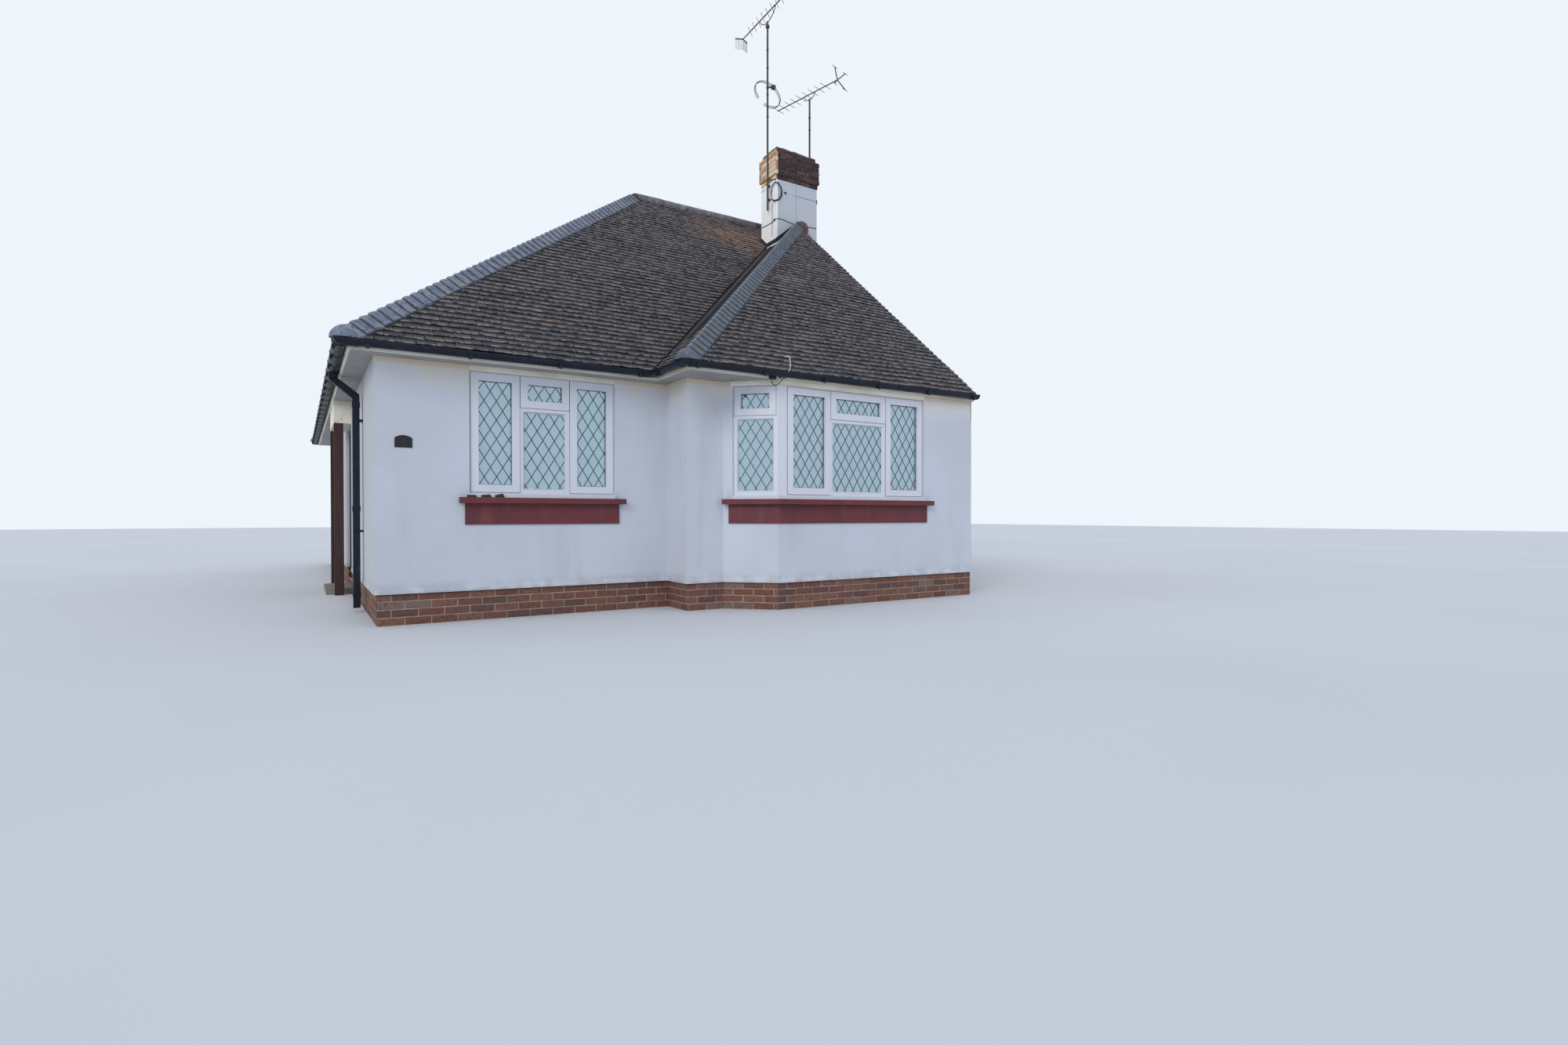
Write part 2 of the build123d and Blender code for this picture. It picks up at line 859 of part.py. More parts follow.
front_frame, front_panes = window(
    front_window, three_lights(front_window_width, front_casement_width)
)
bay_casement_width = (bay_window_width - bay_centre_width) / 2 - frame_bar - mullion_bar
bay_frame, bay_panes = window(bay_window, three_lights(bay_window_width, bay_casement_width))
splay_frame, splay_panes = window(splay_window, [("vent", splay_glazed - 2 * frame_bar)])
rear_frame, rear_panes = window(rear_window, three_lights(rear_window_width, front_casement_width))
kitchen_frame, kitchen_panes = window(kitchen_window, two_casements(kitchen_window_width))
side_frame, side_panes = window(side_window, two_casements(side_window_width))

# Corner post of the bay, from the cill to the head
post_start = wall_point(*splay_path, splay_window_start + splay_glazed)
post_path = [post_start, splay_path[1], bay_window[0]]
cill_bottom = sill_bottom + sill_thickness
post_block = strip(post_path, -reveal, reveal + frame_depth, cill_bottom, window_head)
post_cill = strip(
    post_path, cill_projection, reveal + frame_depth, cill_bottom, cill_bottom + cill_thickness
)

write("front_window_frame", [front_frame])
write("bay_window_frame", [bay_frame, splay_frame])
write("bay_corner_post", [post_block, post_cill])
write("rear_window_frames", [rear_frame, kitchen_frame, side_frame])
write("front_glass", [front_panes, bay_panes, splay_panes])
write("rear_glass", [rear_panes, kitchen_panes, side_panes])


# Painted sills with the bands under them
def lengthened(path, amount):
    """Wall line carried on past both of its ends."""
    first = Vector(*path[0]) - (Vector(*path[1]) - Vector(*path[0])).normalized() * amount
    last = Vector(*path[-1]) + (Vector(*path[-1]) - Vector(*path[-2])).normalized() * amount
    return [(first.X, first.Y), *path[1:-1], (last.X, last.Y)]


def sill(path):
    """Projecting sill that lies in the opening, with its horns on the wall face."""
    top = sill_bottom + sill_thickness
    nosing = strip(lengthened(path, sill_horn), sill_projection, 0, sill_bottom, top)
    bed = strip(path, 0, reveal + frame_depth, sill_bottom, top)
    with BuildPart() as piece:
        add(nosing)
        add(bed)
    return piece.part


def band(path):
    """Raised band on the wall face, close under a sill."""
    bottom = sill_bottom - band_height
    return strip(lengthened(path, band_margin), band_projection, 0, bottom, sill_bottom)


write("front_sill", [sill(front_window)])
write("bay_sill", [sill(bay_opening)])
write("rear_sills", [sill(rear_window), sill(kitchen_window), sill(side_window)])
write("sill_bands", [band(front_window), band(bay_opening)])

# Side entrance: frame, leaf, hood on its two posts, and step
door_line = Vector(*side_door_place[1]) - Vector(*side_door_place[0])
door_face = Plane(
    origin=(*side_door_place[0], floor_height), x_dir=door_line, z_dir=(-1, 0, 0)
)
leaf_width = door_width - 2 * door_frame_bar
leaf_height = door_height - door_frame_bar
with BuildPart() as side_door_frame:
    with BuildSketch(door_face.offset(-reveal - frame_depth)):
        draw_rectangles([(0, 0, door_width, door_height)])
    extrude(amount=frame_depth)
    with BuildSketch(door_face):
        draw_rectangles([(door_frame_bar, 0, leaf_width, leaf_height)])
    extrude(amount=-reveal - frame_depth, mode=Mode.SUBTRACT)
side_door_frame.part.label = "side_door_frame"
export_step(side_door_frame.part, "parts/side_door_frame.step")

panel_width = leaf_width - 2 * door_panel_margin
panel_height = (leaf_height - 3 * door_panel_margin) / 2
panel_places = [
    (door_frame_bar + door_panel_margin, door_panel_margin, panel_width, panel_height),
    (
        door_frame_bar + door_panel_margin,
        2 * door_panel_margin + panel_height,
        panel_width,
        panel_height,
    ),
]
leaf_front = door_face.offset(-reveal - (frame_depth - door_leaf_thickness) / 2)
knob_place = (door_width - door_frame_bar - door_panel_margin / 2, leaf_height / 2)
with BuildPart() as side_door:
    with BuildSketch(leaf_front.offset(-door_leaf_thickness)):
        draw_rectangles([(door_frame_bar, 0, leaf_width, leaf_height)])
    extrude(amount=door_leaf_thickness)
    with BuildSketch(leaf_front):
        draw_rectangles(panel_places)
    extrude(amount=-door_panel_depth, mode=Mode.SUBTRACT)
    with BuildSketch(leaf_front):
        with Locations(knob_place):
            Circle(door_knob_radius)
    extrude(amount=2 * door_knob_radius, taper=10)
side_door.part.label = "side_door"
export_step(side_door.part, "parts/side_door.step")

hood_near_y = front_y + door_start - hood_margin
hood_far_y = front_y + door_start + door_width + hood_margin
hood_bottom = floor_height + door_height
hood_top = soffit_height - soffit_thickness
hood_outline = plan_box(left_x - hood_projection, hood_near_y, left_x, hood_far_y)
post_right_x = left_x - hood_projection + post_width
near_post = plan_box(
    left_x - hood_projection, hood_near_y, post_right_x, hood_near_y + post_thickness
)
far_post = plan_box(
    left_x - hood_projection, hood_far_y - post_thickness, post_right_x, hood_far_y
)
write("door_hood", [upright(hood_outline, hood_bottom, hood_top)])
write("hood_posts", [upright(near_post, 0, hood_bottom), upright(far_post, 0, hood_bottom)])

step_outline = plan_box(
    left_x + plinth_setback - step_depth,
    front_y + door_start,
    left_x + plinth_setback,
    front_y + door_start + door_width,
)
write("door_step", [upright(step_outline, 0, step_height)])

# Number plate: a bare plate with an arched top and a raised rim
plate_face = Plane(
    origin=(left_x + plate_start + plate_width / 2, front_y, plate_bottom),
    x_dir=(1, 0, 0),
    z_dir=(0, -1, 0),
)
plate_arch = plate_width / 6


def plate_sketch(margin):
    """Outline of the plate, moved in by a margin."""
    side = plate_width / 2 - margin
    shoulder = plate_height - plate_arch - margin
    with BuildSketch() as outline:
        with BuildLine():
            Polyline((-side, shoulder), (-side, margin), (side, margin), (side, shoulder))
            ThreePointArc((side, shoulder), (0, plate_height - margin), (-side, shoulder))
        make_face()
    return outline.sketch


plate_edge = plate_sketch(0)
plate_field = plate_sketch(plate_rim)

with BuildPart() as number_plate:
    with BuildSketch(plate_face):
        add(plate_edge)
    extrude(amount=plate_thickness)
    with BuildSketch(plate_face.offset(plate_thickness)):
        add(plate_field)
    extrude(amount=-plate_thickness / 2, mode=Mode.SUBTRACT)
number_plate.part.label = "number_plate"
export_step(number_plate.part, "parts/number_plate.step")

# Masts, clamped to the two sides of the stack
tall_mast_x = stack_left - head_projection - mast_clearance - mast_radius
tall_mast_y = stack_front_y + tall_mast_distance
tall_mast_bottom = head_bottom - tall_mast_drop
tall_mast_top = tall_mast_bottom + tall_mast_length
tall_boom_height = tall_mast_top + cradle_rise
ring_height = tall_mast_top - ring_drop
short_mast_x = stack_right + head_projection + mast_clearance + mast_radius
short_mast_y = stack_front_y + short_mast_distance
short_mast_bottom = head_bottom - short_mast_drop
short_mast_top = short_mast_bottom + short_mast_length


def mast(x, y, bottom, top, stack_face):
    """Round mast with the two brackets that hold it off the stack."""
    reach = abs(stack_face - x)
    with BuildPart() as piece:
        with BuildSketch(Plane.XY.offset(bottom)):
            with Locations((x, y)):
                Circle(mast_radius)
        extrude(amount=top - bottom)
        for drop in bracket_drops:
            with BuildSketch(Plane.XY.offset(head_bottom - drop)):
                with Locations(((x + stack_face) / 2, y)):
                    Rectangle(reach, 2 * mast_radius)
            extrude(amount=bracket_height)
    return piece.part


tall_mast = mast(tall_mast_x, tall_mast_y, tall_mast_bottom, tall_mast_top, stack_left)
short_mast = mast(short_mast_x, short_mast_y, short_mast_bottom, short_mast_top, stack_right)
write("aerial_masts", [tall_mast, short_mast])


def rod(start, end, radius):
    """Straight round rod between two points."""
    line = Vector(*end) - Vector(*start)
    with BuildPart() as bar:
        with BuildSketch(Plane(origin=start, z_dir=line)):
            Circle(radius)
        extrude(amount=line.length)
    return bar.part


# Tall aerial: boom along Y on a bowed cradle, crossed rods along it, and a two-slat reflector at
# the back with a curtain of thin rods hanging from it
def bowed(start, middle, end, radius):
    """Round rod bent through three points."""
    with BuildPart() as bar:
        with BuildLine() as bend:
            ThreePointArc(start, middle, end)
        with BuildSketch(Plane(origin=start, z_dir=bend.edge() % 0)):
            Circle(radius)
        sweep()
    return bar.part


boom_back_y = tall_mast_y + tall_boom_back
boom_front_y = tall_mast_y - tall_boom_front
tall_boom = rod(
    (tall_mast_x, boom_back_y, tall_boom_height),
    (tall_mast_x, boom_front_y, tall_boom_height),
    boom_radius,
)
tall_cradle = bowed(
    (tall_mast_x, tall_mast_y - cradle_reach, tall_boom_height),
    (tall_mast_x, tall_mast_y, tall_mast_top + cradle_sag),
    (tall_mast_x, tall_mast_y + cradle_reach, tall_boom_height),
    cradle_radius,
)
cradle_plug = rod(
    (tall_mast_x, tall_mast_y, tall_mast_top),
    (tall_mast_x, tall_mast_y, tall_mast_top + cradle_sag + mast_radius),
    mast_radius,
)
tall_rods = []
rod_spacing = (tall_boom_front + tall_boom_back - 2 * slat_rise) / tall_rod_count
rod_side = tall_rod_half_length * math.sin(math.radians(tall_rod_lean))
rod_rise = tall_rod_half_length * math.cos(math.radians(tall_rod_lean))
for index in range(tall_rod_count):
    rod_y = boom_front_y + 2 * boom_radius + index * rod_spacing
    for side in (-rod_side, rod_side):
        tall_rods.append(rod(
            (tall_mast_x - side, rod_y, tall_boom_height - rod_rise),
            (tall_mast_x + side, rod_y, tall_boom_height + rod_rise),
            rod_radius,
        ))
reflector_outline = [
    (tall_mast_x - slat_half_width, boom_back_y + slat_rise),
    (tall_mast_x, boom_back_y),
    (tall_mast_x + slat_half_width, boom_back_y + slat_rise),
]
reflector = strip(
    reflector_outline, slat_thickness, slat_thickness,
    tall_boom_height - boom_radius, tall_boom_height + boom_radius,
)
curtain = []
for side in (-1, 1):
    for number in range(curtain_rod_pairs):
        share = (number + 0.5) / curtain_rod_pairs
        rod_x = tall_mast_x + side * share * slat_half_width
        rod_y = boom_back_y + share * slat_rise
        curtain.append(rod(
            (rod_x, rod_y, tall_boom_height - curtain_rod_length),
            (rod_x, rod_y, tall_boom_height),
            rod_radius,
        ))
write("tall_aerial", [tall_boom, cradle_plug, tall_cradle, reflector, *tall_rods, *curtain])

# Ring aerial round the tall mast: two open rings through a feed box, on a clamped arm
ring_plane = Plane(
    origin=(tall_mast_x, tall_mast_y, ring_height), x_dir=(1, 0, 0), z_dir=(0, -1, 0)
).rotated((ring_tilt - 90, 0, 0))
feed_turn = math.radians(feed_angle)
feed_place = ring_plane.from_local_coords(
    Vector(ring_radius * math.sin(feed_turn), ring_radius * math.cos(feed_turn), 0)
)
clamp_height = ring_height + feed_arm_rise
feed_arm = rod((tall_mast_x, tall_mast_y, clamp_height), tuple(feed_place), 2 * ring_tube)
opening_corners = [(0, 0)]
for angle in ring_opening:
    side = math.radians(angle)
    opening_corners.append((2 * ring_radius * math.sin(side), 2 * ring_radius * math.cos(side)))
with BuildPart() as ring_aerial:
    with Locations(ring_plane.offset(ring_gap / 2), ring_plane.offset(-ring_gap / 2)):
        Torus(ring_radius, ring_tube)
    with BuildSketch(ring_plane.offset(-ring_gap)):
        with BuildLine():
            Polyline(*opening_corners, close=True)
        make_face()
    extrude(amount=2 * ring_gap, mode=Mode.SUBTRACT)
    with Locations(Plane(origin=feed_place)):
        Box(feed_size, feed_size, feed_size)
    add(feed_arm)
    with BuildSketch(Plane.XY.offset(clamp_height - mast_radius)):
        with Locations((tall_mast_x, tall_mast_y)):
            Circle(mast_radius + clamp_wall)
    extrude(amount=2 * mast_radius)
    with BuildSketch(Plane.XY.offset(tall_mast_bottom)):
        with Locations((tall_mast_x, tall_mast_y)):
            Circle(mast_radius)
    extrude(amount=tall_mast_top - tall_mast_bottom, mode=Mode.SUBTRACT)
ring_aerial.part.label = "ring_aerial"
export_step(ring_aerial.part, "parts/ring_aerial.step")

# Short aerial: boom turned a little from Y, level rods, and a crossed reflector at the front,
# with its arms swept forward and a thin rod across the end of each arm
turn = math.radians(short_boom_turn)
boom_way = Vector(-math.sin(turn), math.cos(turn), 0)
rod_way = Vector(math.cos(turn), math.sin(turn), 0)
short_centre = Vector(short_mast_x, short_mast_y, short_mast_top + short_boom_rise)
short_front = short_centre - boom_way * short_boom_front
short_back = short_centre + boom_way * short_boom_back
short_boom = rod(short_front, short_back, boom_radius)
cradle_low = (short_mast_x, short_mast_y, short_mast_top + mast_radius)
short_cradle = bowed(
    tuple(short_centre - boom_way * short_cradle_reach),
    cradle_low,
    tuple(short_centre + boom_way * short_cradle_reach),
    cradle_radius,
)
short_plug = rod(
    (short_mast_x, short_mast_y, short_mast_top),
    (short_mast_x, short_mast_y, short_mast_top + 2 * mast_radius),
    mast_radius,
)
short_rods = []
short_spacing = (short_boom_front + short_boom_back) / (short_rod_count + 1)
for index in range(short_rod_count):
    middle = short_back - boom_way * (2 * boom_radius + index * short_spacing)
    short_rods.append(rod(
        middle - rod_way * short_rod_half_length,
        middle + rod_way * short_rod_half_length,
        rod_radius,
    ))
cross_arms = []
for side in (-cross_arm, cross_arm):
    for rise in (-cross_arm, cross_arm):
        tip = short_front + rod_way * side + Vector(0, 0, rise) - boom_way * cross_forward
        cross_arms.append(rod(tuple(short_front), tuple(tip), boom_radius))
        cross_arms.append(rod(
            tuple(tip - rod_way * short_rod_half_length / 2),
            tuple(tip + rod_way * short_rod_half_length / 2),
            rod_radius,
        ))
write("short_aerial", [short_boom, short_plug, short_cradle, *cross_arms, *short_rods])
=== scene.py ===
# %% [markdown]
# # A rendered bungalow under a hipped roof of plain tiles
#
# The walls, slopes, windows and aerials are loaded as fixed shapes, in metres, standing on the
# ground at zero with the front of the house towards -Y. This lesson gives each of them its finish
# and lays the small things that a builder would lay one by one: tiles, bricks, lead strips, brackets.

# %% Load the frame
import json
import math
from functools import partial

import bmesh
import bpy
from mathutils import Euler, Matrix, Vector, noise


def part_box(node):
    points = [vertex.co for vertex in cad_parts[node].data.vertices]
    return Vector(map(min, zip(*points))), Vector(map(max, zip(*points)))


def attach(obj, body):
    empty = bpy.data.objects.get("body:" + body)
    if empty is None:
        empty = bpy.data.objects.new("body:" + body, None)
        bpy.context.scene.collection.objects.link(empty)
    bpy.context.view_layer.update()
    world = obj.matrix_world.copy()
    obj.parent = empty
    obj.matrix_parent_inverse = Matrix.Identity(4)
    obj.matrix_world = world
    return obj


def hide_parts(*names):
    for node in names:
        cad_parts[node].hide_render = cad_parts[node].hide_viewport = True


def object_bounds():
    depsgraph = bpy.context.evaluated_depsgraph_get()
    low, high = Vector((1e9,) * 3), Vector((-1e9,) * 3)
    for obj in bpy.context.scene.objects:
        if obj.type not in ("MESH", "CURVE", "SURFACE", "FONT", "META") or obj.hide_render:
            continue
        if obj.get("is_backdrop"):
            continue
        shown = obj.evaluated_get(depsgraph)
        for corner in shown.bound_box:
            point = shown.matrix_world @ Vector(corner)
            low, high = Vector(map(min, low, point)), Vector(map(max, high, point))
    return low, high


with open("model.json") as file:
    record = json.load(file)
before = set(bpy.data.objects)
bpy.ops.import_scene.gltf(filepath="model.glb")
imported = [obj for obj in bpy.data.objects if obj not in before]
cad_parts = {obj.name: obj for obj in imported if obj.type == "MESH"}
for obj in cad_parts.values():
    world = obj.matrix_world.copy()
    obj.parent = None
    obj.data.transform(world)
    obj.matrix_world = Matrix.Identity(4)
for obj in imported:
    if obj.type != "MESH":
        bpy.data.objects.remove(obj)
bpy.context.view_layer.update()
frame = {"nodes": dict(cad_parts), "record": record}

nodes = frame["nodes"]

# %% [markdown]
# ## Camera
#
# The camera stands in front of the house's left end, at chest height, and is turned to the right. A
# short lens takes in the whole front, so the near corner looks steep and the chimney small.

# %% Camera
scene = bpy.context.scene
scene.view_settings.view_transform = "Standard"


def shown(name, data):
    """Object in the scene, made from its data."""
    made = bpy.data.objects.new(name, data)
    scene.collection.objects.link(made)
    return made


camera = shown("camera", bpy.data.cameras.new("camera"))
camera.location = (-3.8784, -11.8202, 1.0125)
camera.rotation_euler = Euler((math.radians(89.418), 0, math.radians(-32.866)))
camera.data.sensor_width = 36
camera.data.lens = 17.29
scene.camera = camera
print("camera at", [round(value, 2) for value in camera.location], "lens", camera.data.lens, "mm")

# %% [markdown]
# ## Building node trees
#
# Geometry trees and shader trees are built with the same helpers. `add_node` makes a node, sets its
# options and fills its inputs with values or links, and `new_group` makes a tree with named sockets.
# Colours are written as the 0 to 255 values that a screen shows.


# %% Node helpers
def add_node(tree, kind, inputs=None, **settings):
    """Node of a kind, with its settings, and its inputs set or linked by name or number."""
    node = tree.nodes.new(kind)
    for key, value in settings.items():
        setattr(node, key, value)
    for key, value in (inputs or {}).items():
        if isinstance(value, bpy.types.NodeSocket):
            tree.links.new(value, node.inputs[key])
        else:
            node.inputs[key].default_value = value
    return node


def new_group(name, kind, inputs, outputs):
    """Node group with named sockets, and the node that holds its inputs."""
    tree = bpy.data.node_groups.new(name, kind)
    for label, (socket, default) in inputs.items():
        made = tree.interface.new_socket(label, in_out="INPUT", socket_type="NodeSocket" + socket)
        if default is not None:
            made.default_value = default
    for label, socket in outputs.items():
        tree.interface.new_socket(label, in_out="OUTPUT", socket_type="NodeSocket" + socket)
    return tree, tree.nodes.new("NodeGroupInput").outputs


def math_node(tree, operation, first, second=0.0):
    """Result of one sum on sockets or numbers."""
    return add_node(tree, "ShaderNodeMath", {0: first, 1: second}, operation=operation).outputs[0]


def vector_node(tree, operation, first, second, output=0):
    """Result of one sum on vectors."""
    return add_node(tree, "ShaderNodeVectorMath", {0: first, 1: second}, operation=operation).outputs[output]


def vector_of(tree, *parts):
    """Vector from up to three sockets or numbers."""
    return add_node(tree, "ShaderNodeCombineXYZ", dict(enumerate(parts))).outputs[0]


def rgb(red, green, blue):
    """Screen colour as linear values."""
    def linear(value):
        value /= 255
        return value / 12.92 if value <= 0.04045 else ((value + 0.055) / 1.055) ** 2.4
    return (linear(red), linear(green), linear(blue), 1.0)


# %% [markdown]
# ## Shared effects
#
# Old paint, brick and tile all carry patches, streaks and a fine grain, and they darken or yellow
# towards the ground or the eaves. Three small groups give those masks from Object coordinates, so
# that the pattern is in metres and stays put on the piece: soft patches, a band between two planes,
# and the surroundings of a point. The party wall, and the ends of the walls that meet it, were never
# meant to be seen. Their bricks are drawn by a fourth group instead of being laid one by one: a brick
# texture on the wall's own metres gives a tone for each brick and a mask for the joints.

# %% Patches, bands, spots and drawn bricks
def mask_group(name, inputs, measure, low, high):
    """Group that turns a value measured at a place on the piece into a soft mask."""
    group, sockets = new_group(name, "ShaderNodeTree", inputs, {"Mask": "Float"})
    value = measure(group, add_node(group, "ShaderNodeTexCoord").outputs["Object"], sockets)
    ramp = add_node(
        group, "ShaderNodeMapRange",
        {"Value": value, "From Min": sockets[low], "From Max": sockets[high] if high else 0.0},
        interpolation_type="SMOOTHSTEP",
    ).outputs[0]
    group.links.new(ramp, group.nodes.new("NodeGroupOutput").inputs["Mask"])
    return group


def cloud(group, place, sockets):
    """Noise at a place, drawn out by a stretch."""
    stretched = vector_node(group, "MULTIPLY", place, sockets["Stretch"])
    values = {"Vector": stretched, "Scale": sockets["Scale"], "Detail": sockets["Detail"]}
    return add_node(group, "ShaderNodeTexNoise", values).outputs[0]


mask_groups = {
    "patches": mask_group(
        "Patches", {"Scale": ("Float", 1.0), "Low": ("Float", 0.4), "High": ("Float", 0.6),
                    "Stretch": ("Vector", (1, 1, 1)), "Detail": ("Float", 4.0)},
        cloud, "Low", "High"),
    "band": mask_group(
        "Band", {"From": ("Float", 0.0), "To": ("Float", 1.0), "Axis": ("Vector", (0, 0, 1))},
        lambda group, place, sockets: vector_node(group, "DOT_PRODUCT", place, sockets["Axis"], "Value"),
        "From", "To"),
    "spot": mask_group(
        "Spot", {"Centre": ("Vector", (0, 0, 0)), "Radius": ("Float", 1.0)},
        lambda group, place, sockets: vector_node(group, "DISTANCE", place, sockets["Centre"], "Value"),
        "Radius", None),
}

drawn_group, sockets = new_group(
    "Drawn bricks", "ShaderNodeTree", {"Course": ("Float", 0.075)}, {"Tone": "Float", "Joint": "Float"})
wall_place = add_node(drawn_group, "ShaderNodeTexCoord").outputs["Object"]
parts = add_node(drawn_group, "ShaderNodeSeparateXYZ", {0: wall_place}).outputs
flat = vector_of(drawn_group, math_node(drawn_group, "ADD", parts["X"], parts["Y"]), parts["Z"])
courses = add_node(
    drawn_group, "ShaderNodeTexBrick",
    {"Vector": flat, "Scale": 1.0, "Mortar Size": 0.006, "Mortar Smooth": 0.2, "Bias": 0.0,
     "Brick Width": 0.225, "Row Height": sockets["Course"],
     "Color1": (1, 1, 1, 1), "Color2": (0, 0, 0, 1), "Mortar": (0.5, 0.5, 0.5, 1)},
)
put_out = drawn_group.nodes.new("NodeGroupOutput")
for made, label in (("Color", "Tone"), ("Fac", "Joint")):
    drawn_group.links.new(courses.outputs[made], put_out.inputs[label])
print("shared effects:", *mask_groups, drawn_group.name)

# %% [markdown]
# ## Finishes
#
# A finish is one Principled shader with a stack of colours over a base colour: each layer has a mask
# and shows where its mask is white. A height mask feeds one Bump node. This keeps every material
# short to write, and lets the colours be tuned one by one. Masks have a short form. Numbers alone are
# patches: their scale, the noise values where they start and end, a stretch, which draws them out
# along an axis where it is under 1, and the noise's detail. Other masks start with their name, the
# name of a value stored on the piece works too, and a list of masks is their product.


# %% Finish maker
class Finish:
    """Material with a base colour, colours laid over it by masks, and one bump."""

    def __init__(self, name, base, roughness, metallic, specular):
        self.material = bpy.data.materials.new(name)
        self.material.use_nodes = True
        self.tree = self.material.node_tree
        self.shader = self.tree.nodes["Principled BSDF"]
        for label, value in (("Roughness", roughness), ("Metallic", metallic),
                             ("Specular IOR Level", specular), ("Base Color", rgb(*base))):
            self.shader.inputs[label].default_value = value
        self.colour = add_node(self.tree, "ShaderNodeRGB").outputs[0]
        self.colour.default_value = rgb(*base)
        self.height = None

    def mask(self, form):
        """Mask from its short form."""
        if isinstance(form, (float, bpy.types.NodeSocket)):
            return form
        if isinstance(form, list):
            product = self.mask(form[0])
            for other in form[1:]:
                product = math_node(self.tree, "MULTIPLY", product, self.mask(other))
            return product
        kind, *values = form if isinstance(form[0], str) else ("patches", *form)
        if kind in mask_groups:
            node = add_node(self.tree, "ShaderNodeGroup", node_tree=mask_groups[kind])
            for socket, value in zip(node.inputs, values):
                socket.default_value = value
        else:
            stored = add_node(self.tree, "ShaderNodeAttribute", attribute_name=kind).outputs["Fac"]
            node = add_node(self.tree, "ShaderNodeMapRange",
                            {"Value": stored, "From Min": values[0], "From Max": values[1]})
        return node.outputs[0]

    def layer(self, form, colour, amount=1.0):
        """Lay a colour over what is there, where the mask is white."""
        mixed = add_node(self.tree, "ShaderNodeMix", {"Factor": self.mask([form, amount])},
                         data_type="RGBA", blend_type="MIX")
        self.tree.links.new(self.colour, mixed.inputs[6])
        mixed.inputs[7].default_value = rgb(*colour)
        self.colour = mixed.outputs[2]
        self.tree.links.new(self.colour, self.shader.inputs["Base Color"])

    def relief(self, form, depth):
        """Raise the surface by a depth where the mask is white."""
        raised = self.mask([form, depth])
        self.height = math_node(self.tree, "ADD", self.height, raised) if self.height else raised

    def draw_bricks(self, where):
        """Lay bricks and joints as colour and relief where a mask is white."""
        where = self.mask(where)
        drawn = add_node(self.tree, "ShaderNodeGroup", node_tree=drawn_group).outputs
        line = self.mask([drawn["Joint"], where])
        self.layer([drawn["Tone"], where], (112, 82, 76), 0.8)
        self.layer([(16.0, 0.45, 0.7), where], (94, 70, 64), 0.6)
        self.layer(line, (164, 154, 142))
        self.relief(line, -0.006)


def mix(name, base, shine, layers, reliefs, bricks=None, **inputs):
    """Material from its colour, its roughness, metallic and specular, and its layers and reliefs."""
    finish = Finish(name, base, *shine)
    for layer in layers:
        finish.layer(*layer)
    if bricks:
        finish.draw_bricks(bricks)
    for relief in reliefs:
        finish.relief(*relief)
    if finish.height:
        bump = add_node(finish.tree, "ShaderNodeBump", {"Height": finish.height, "Distance": 1.0})
        finish.tree.links.new(bump.outputs[0], finish.shader.inputs["Normal"])
    for label, value in inputs.items():
        finish.shader.inputs[label.replace("_", " ")].default_value = value
    return finish.material


# %% [markdown]
# ## Masonry paint
#
# The walls are smooth render under many coats of white masonry paint. In open shade it looks a cool
# grey-lavender. Under the eaves it is painted lighter, as painted bounced light, and partly cream where the
# eaves drip on it. It is faintly streaked from top to bottom, and dirty in the last few centimetres over the
# bricks. A crack runs down the party line, the left wall's outer face is painted darker as painted shade,
# the stack is greyer above the roof with its left face painted white as painted sunlight, and what lies
# past the party line is bare brick.

# %% Painted render
left_face, party_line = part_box("left_wall")[0].x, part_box("bay_front_wall")[1].x
stack_left_x, head_left_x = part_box("chimney_stack")[0].x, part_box("chimney_head")[0].x
across = (1, 0, 0)
under_eaves = [("band", 2.12, 2.44), ("band", 2.62, 2.5)]
past_party = ("band", party_line - 0.002, party_line - 0.001, across)
on_stack = ("band", 4.0, 4.4)
party_clay = (138, 100, 84)
masonry_paint = mix("masonry_paint", (203, 209, 220), (0.85, 0.0, 0.3), [
    ((0.9, 0.35, 0.7), (196, 199, 208), 0.8),
    ((3.0, 0.5, 0.75, (1, 1, 0.15)), (188, 190, 198), 0.5),
    # Painted bounced light: the wall top is painted lighter under the eaves, then partly cream as eaves
    # stain.
    (under_eaves, (230, 229, 227), 0.75),
    (under_eaves + [(2.2, 0.35, 0.66, (1, 1, 0.35))], (228, 214, 188), 0.55),
    ([("band", 2.375, 2.42), ("band", 2.62, 2.5)], (222, 198, 160), 0.65),
    # Painted shade: the left wall's outer face is painted darker.
    (("band", left_face + 0.002, left_face + 0.001, across), (190, 192, 196), 0.8),
    ([("band", 0.42, 0.29), (7.0, 0.35, 0.6)], (150, 150, 148), 0.45),
    ([("band", party_line - 0.018, party_line - 0.013, across),
      ("band", party_line - 0.003, party_line - 0.005, across), ("band", 2.12, 2.3)], (72, 70, 70), 0.9),
    (on_stack, (186, 190, 198), 0.6),
    # Painted sunlight: the stack's left face is painted white.
    ([("band", stack_left_x + 0.04, stack_left_x + 0.02, across), on_stack], (255, 255, 252)),
    ([past_party, ("band", 5.55, 5.53)], party_clay),
], [((160.0, 0.2, 0.8, (1, 1, 1), 2.0), 0.0006), ((2.5, 0.2, 0.8, (1, 1, 0.6)), 0.004)],
    bricks=[past_party, ("band", 5.55, 5.53)])
wall_plaster = mix("wall_plaster", (222, 219, 210), (0.9, 0.0, 0.2),
                   [((1.2,), (212, 207, 196), 0.5)], [((90.0,), 0.0004)])
floor_concrete = mix("floor_concrete", (140, 137, 130), (0.9, 0.0, 0.3), [
    ((3.0,), (118, 114, 106), 0.7), ((45.0, 0.55, 0.65), (165, 160, 150), 0.5),
], [((80.0,), 0.001)])
print("render, plaster and concrete mixed")

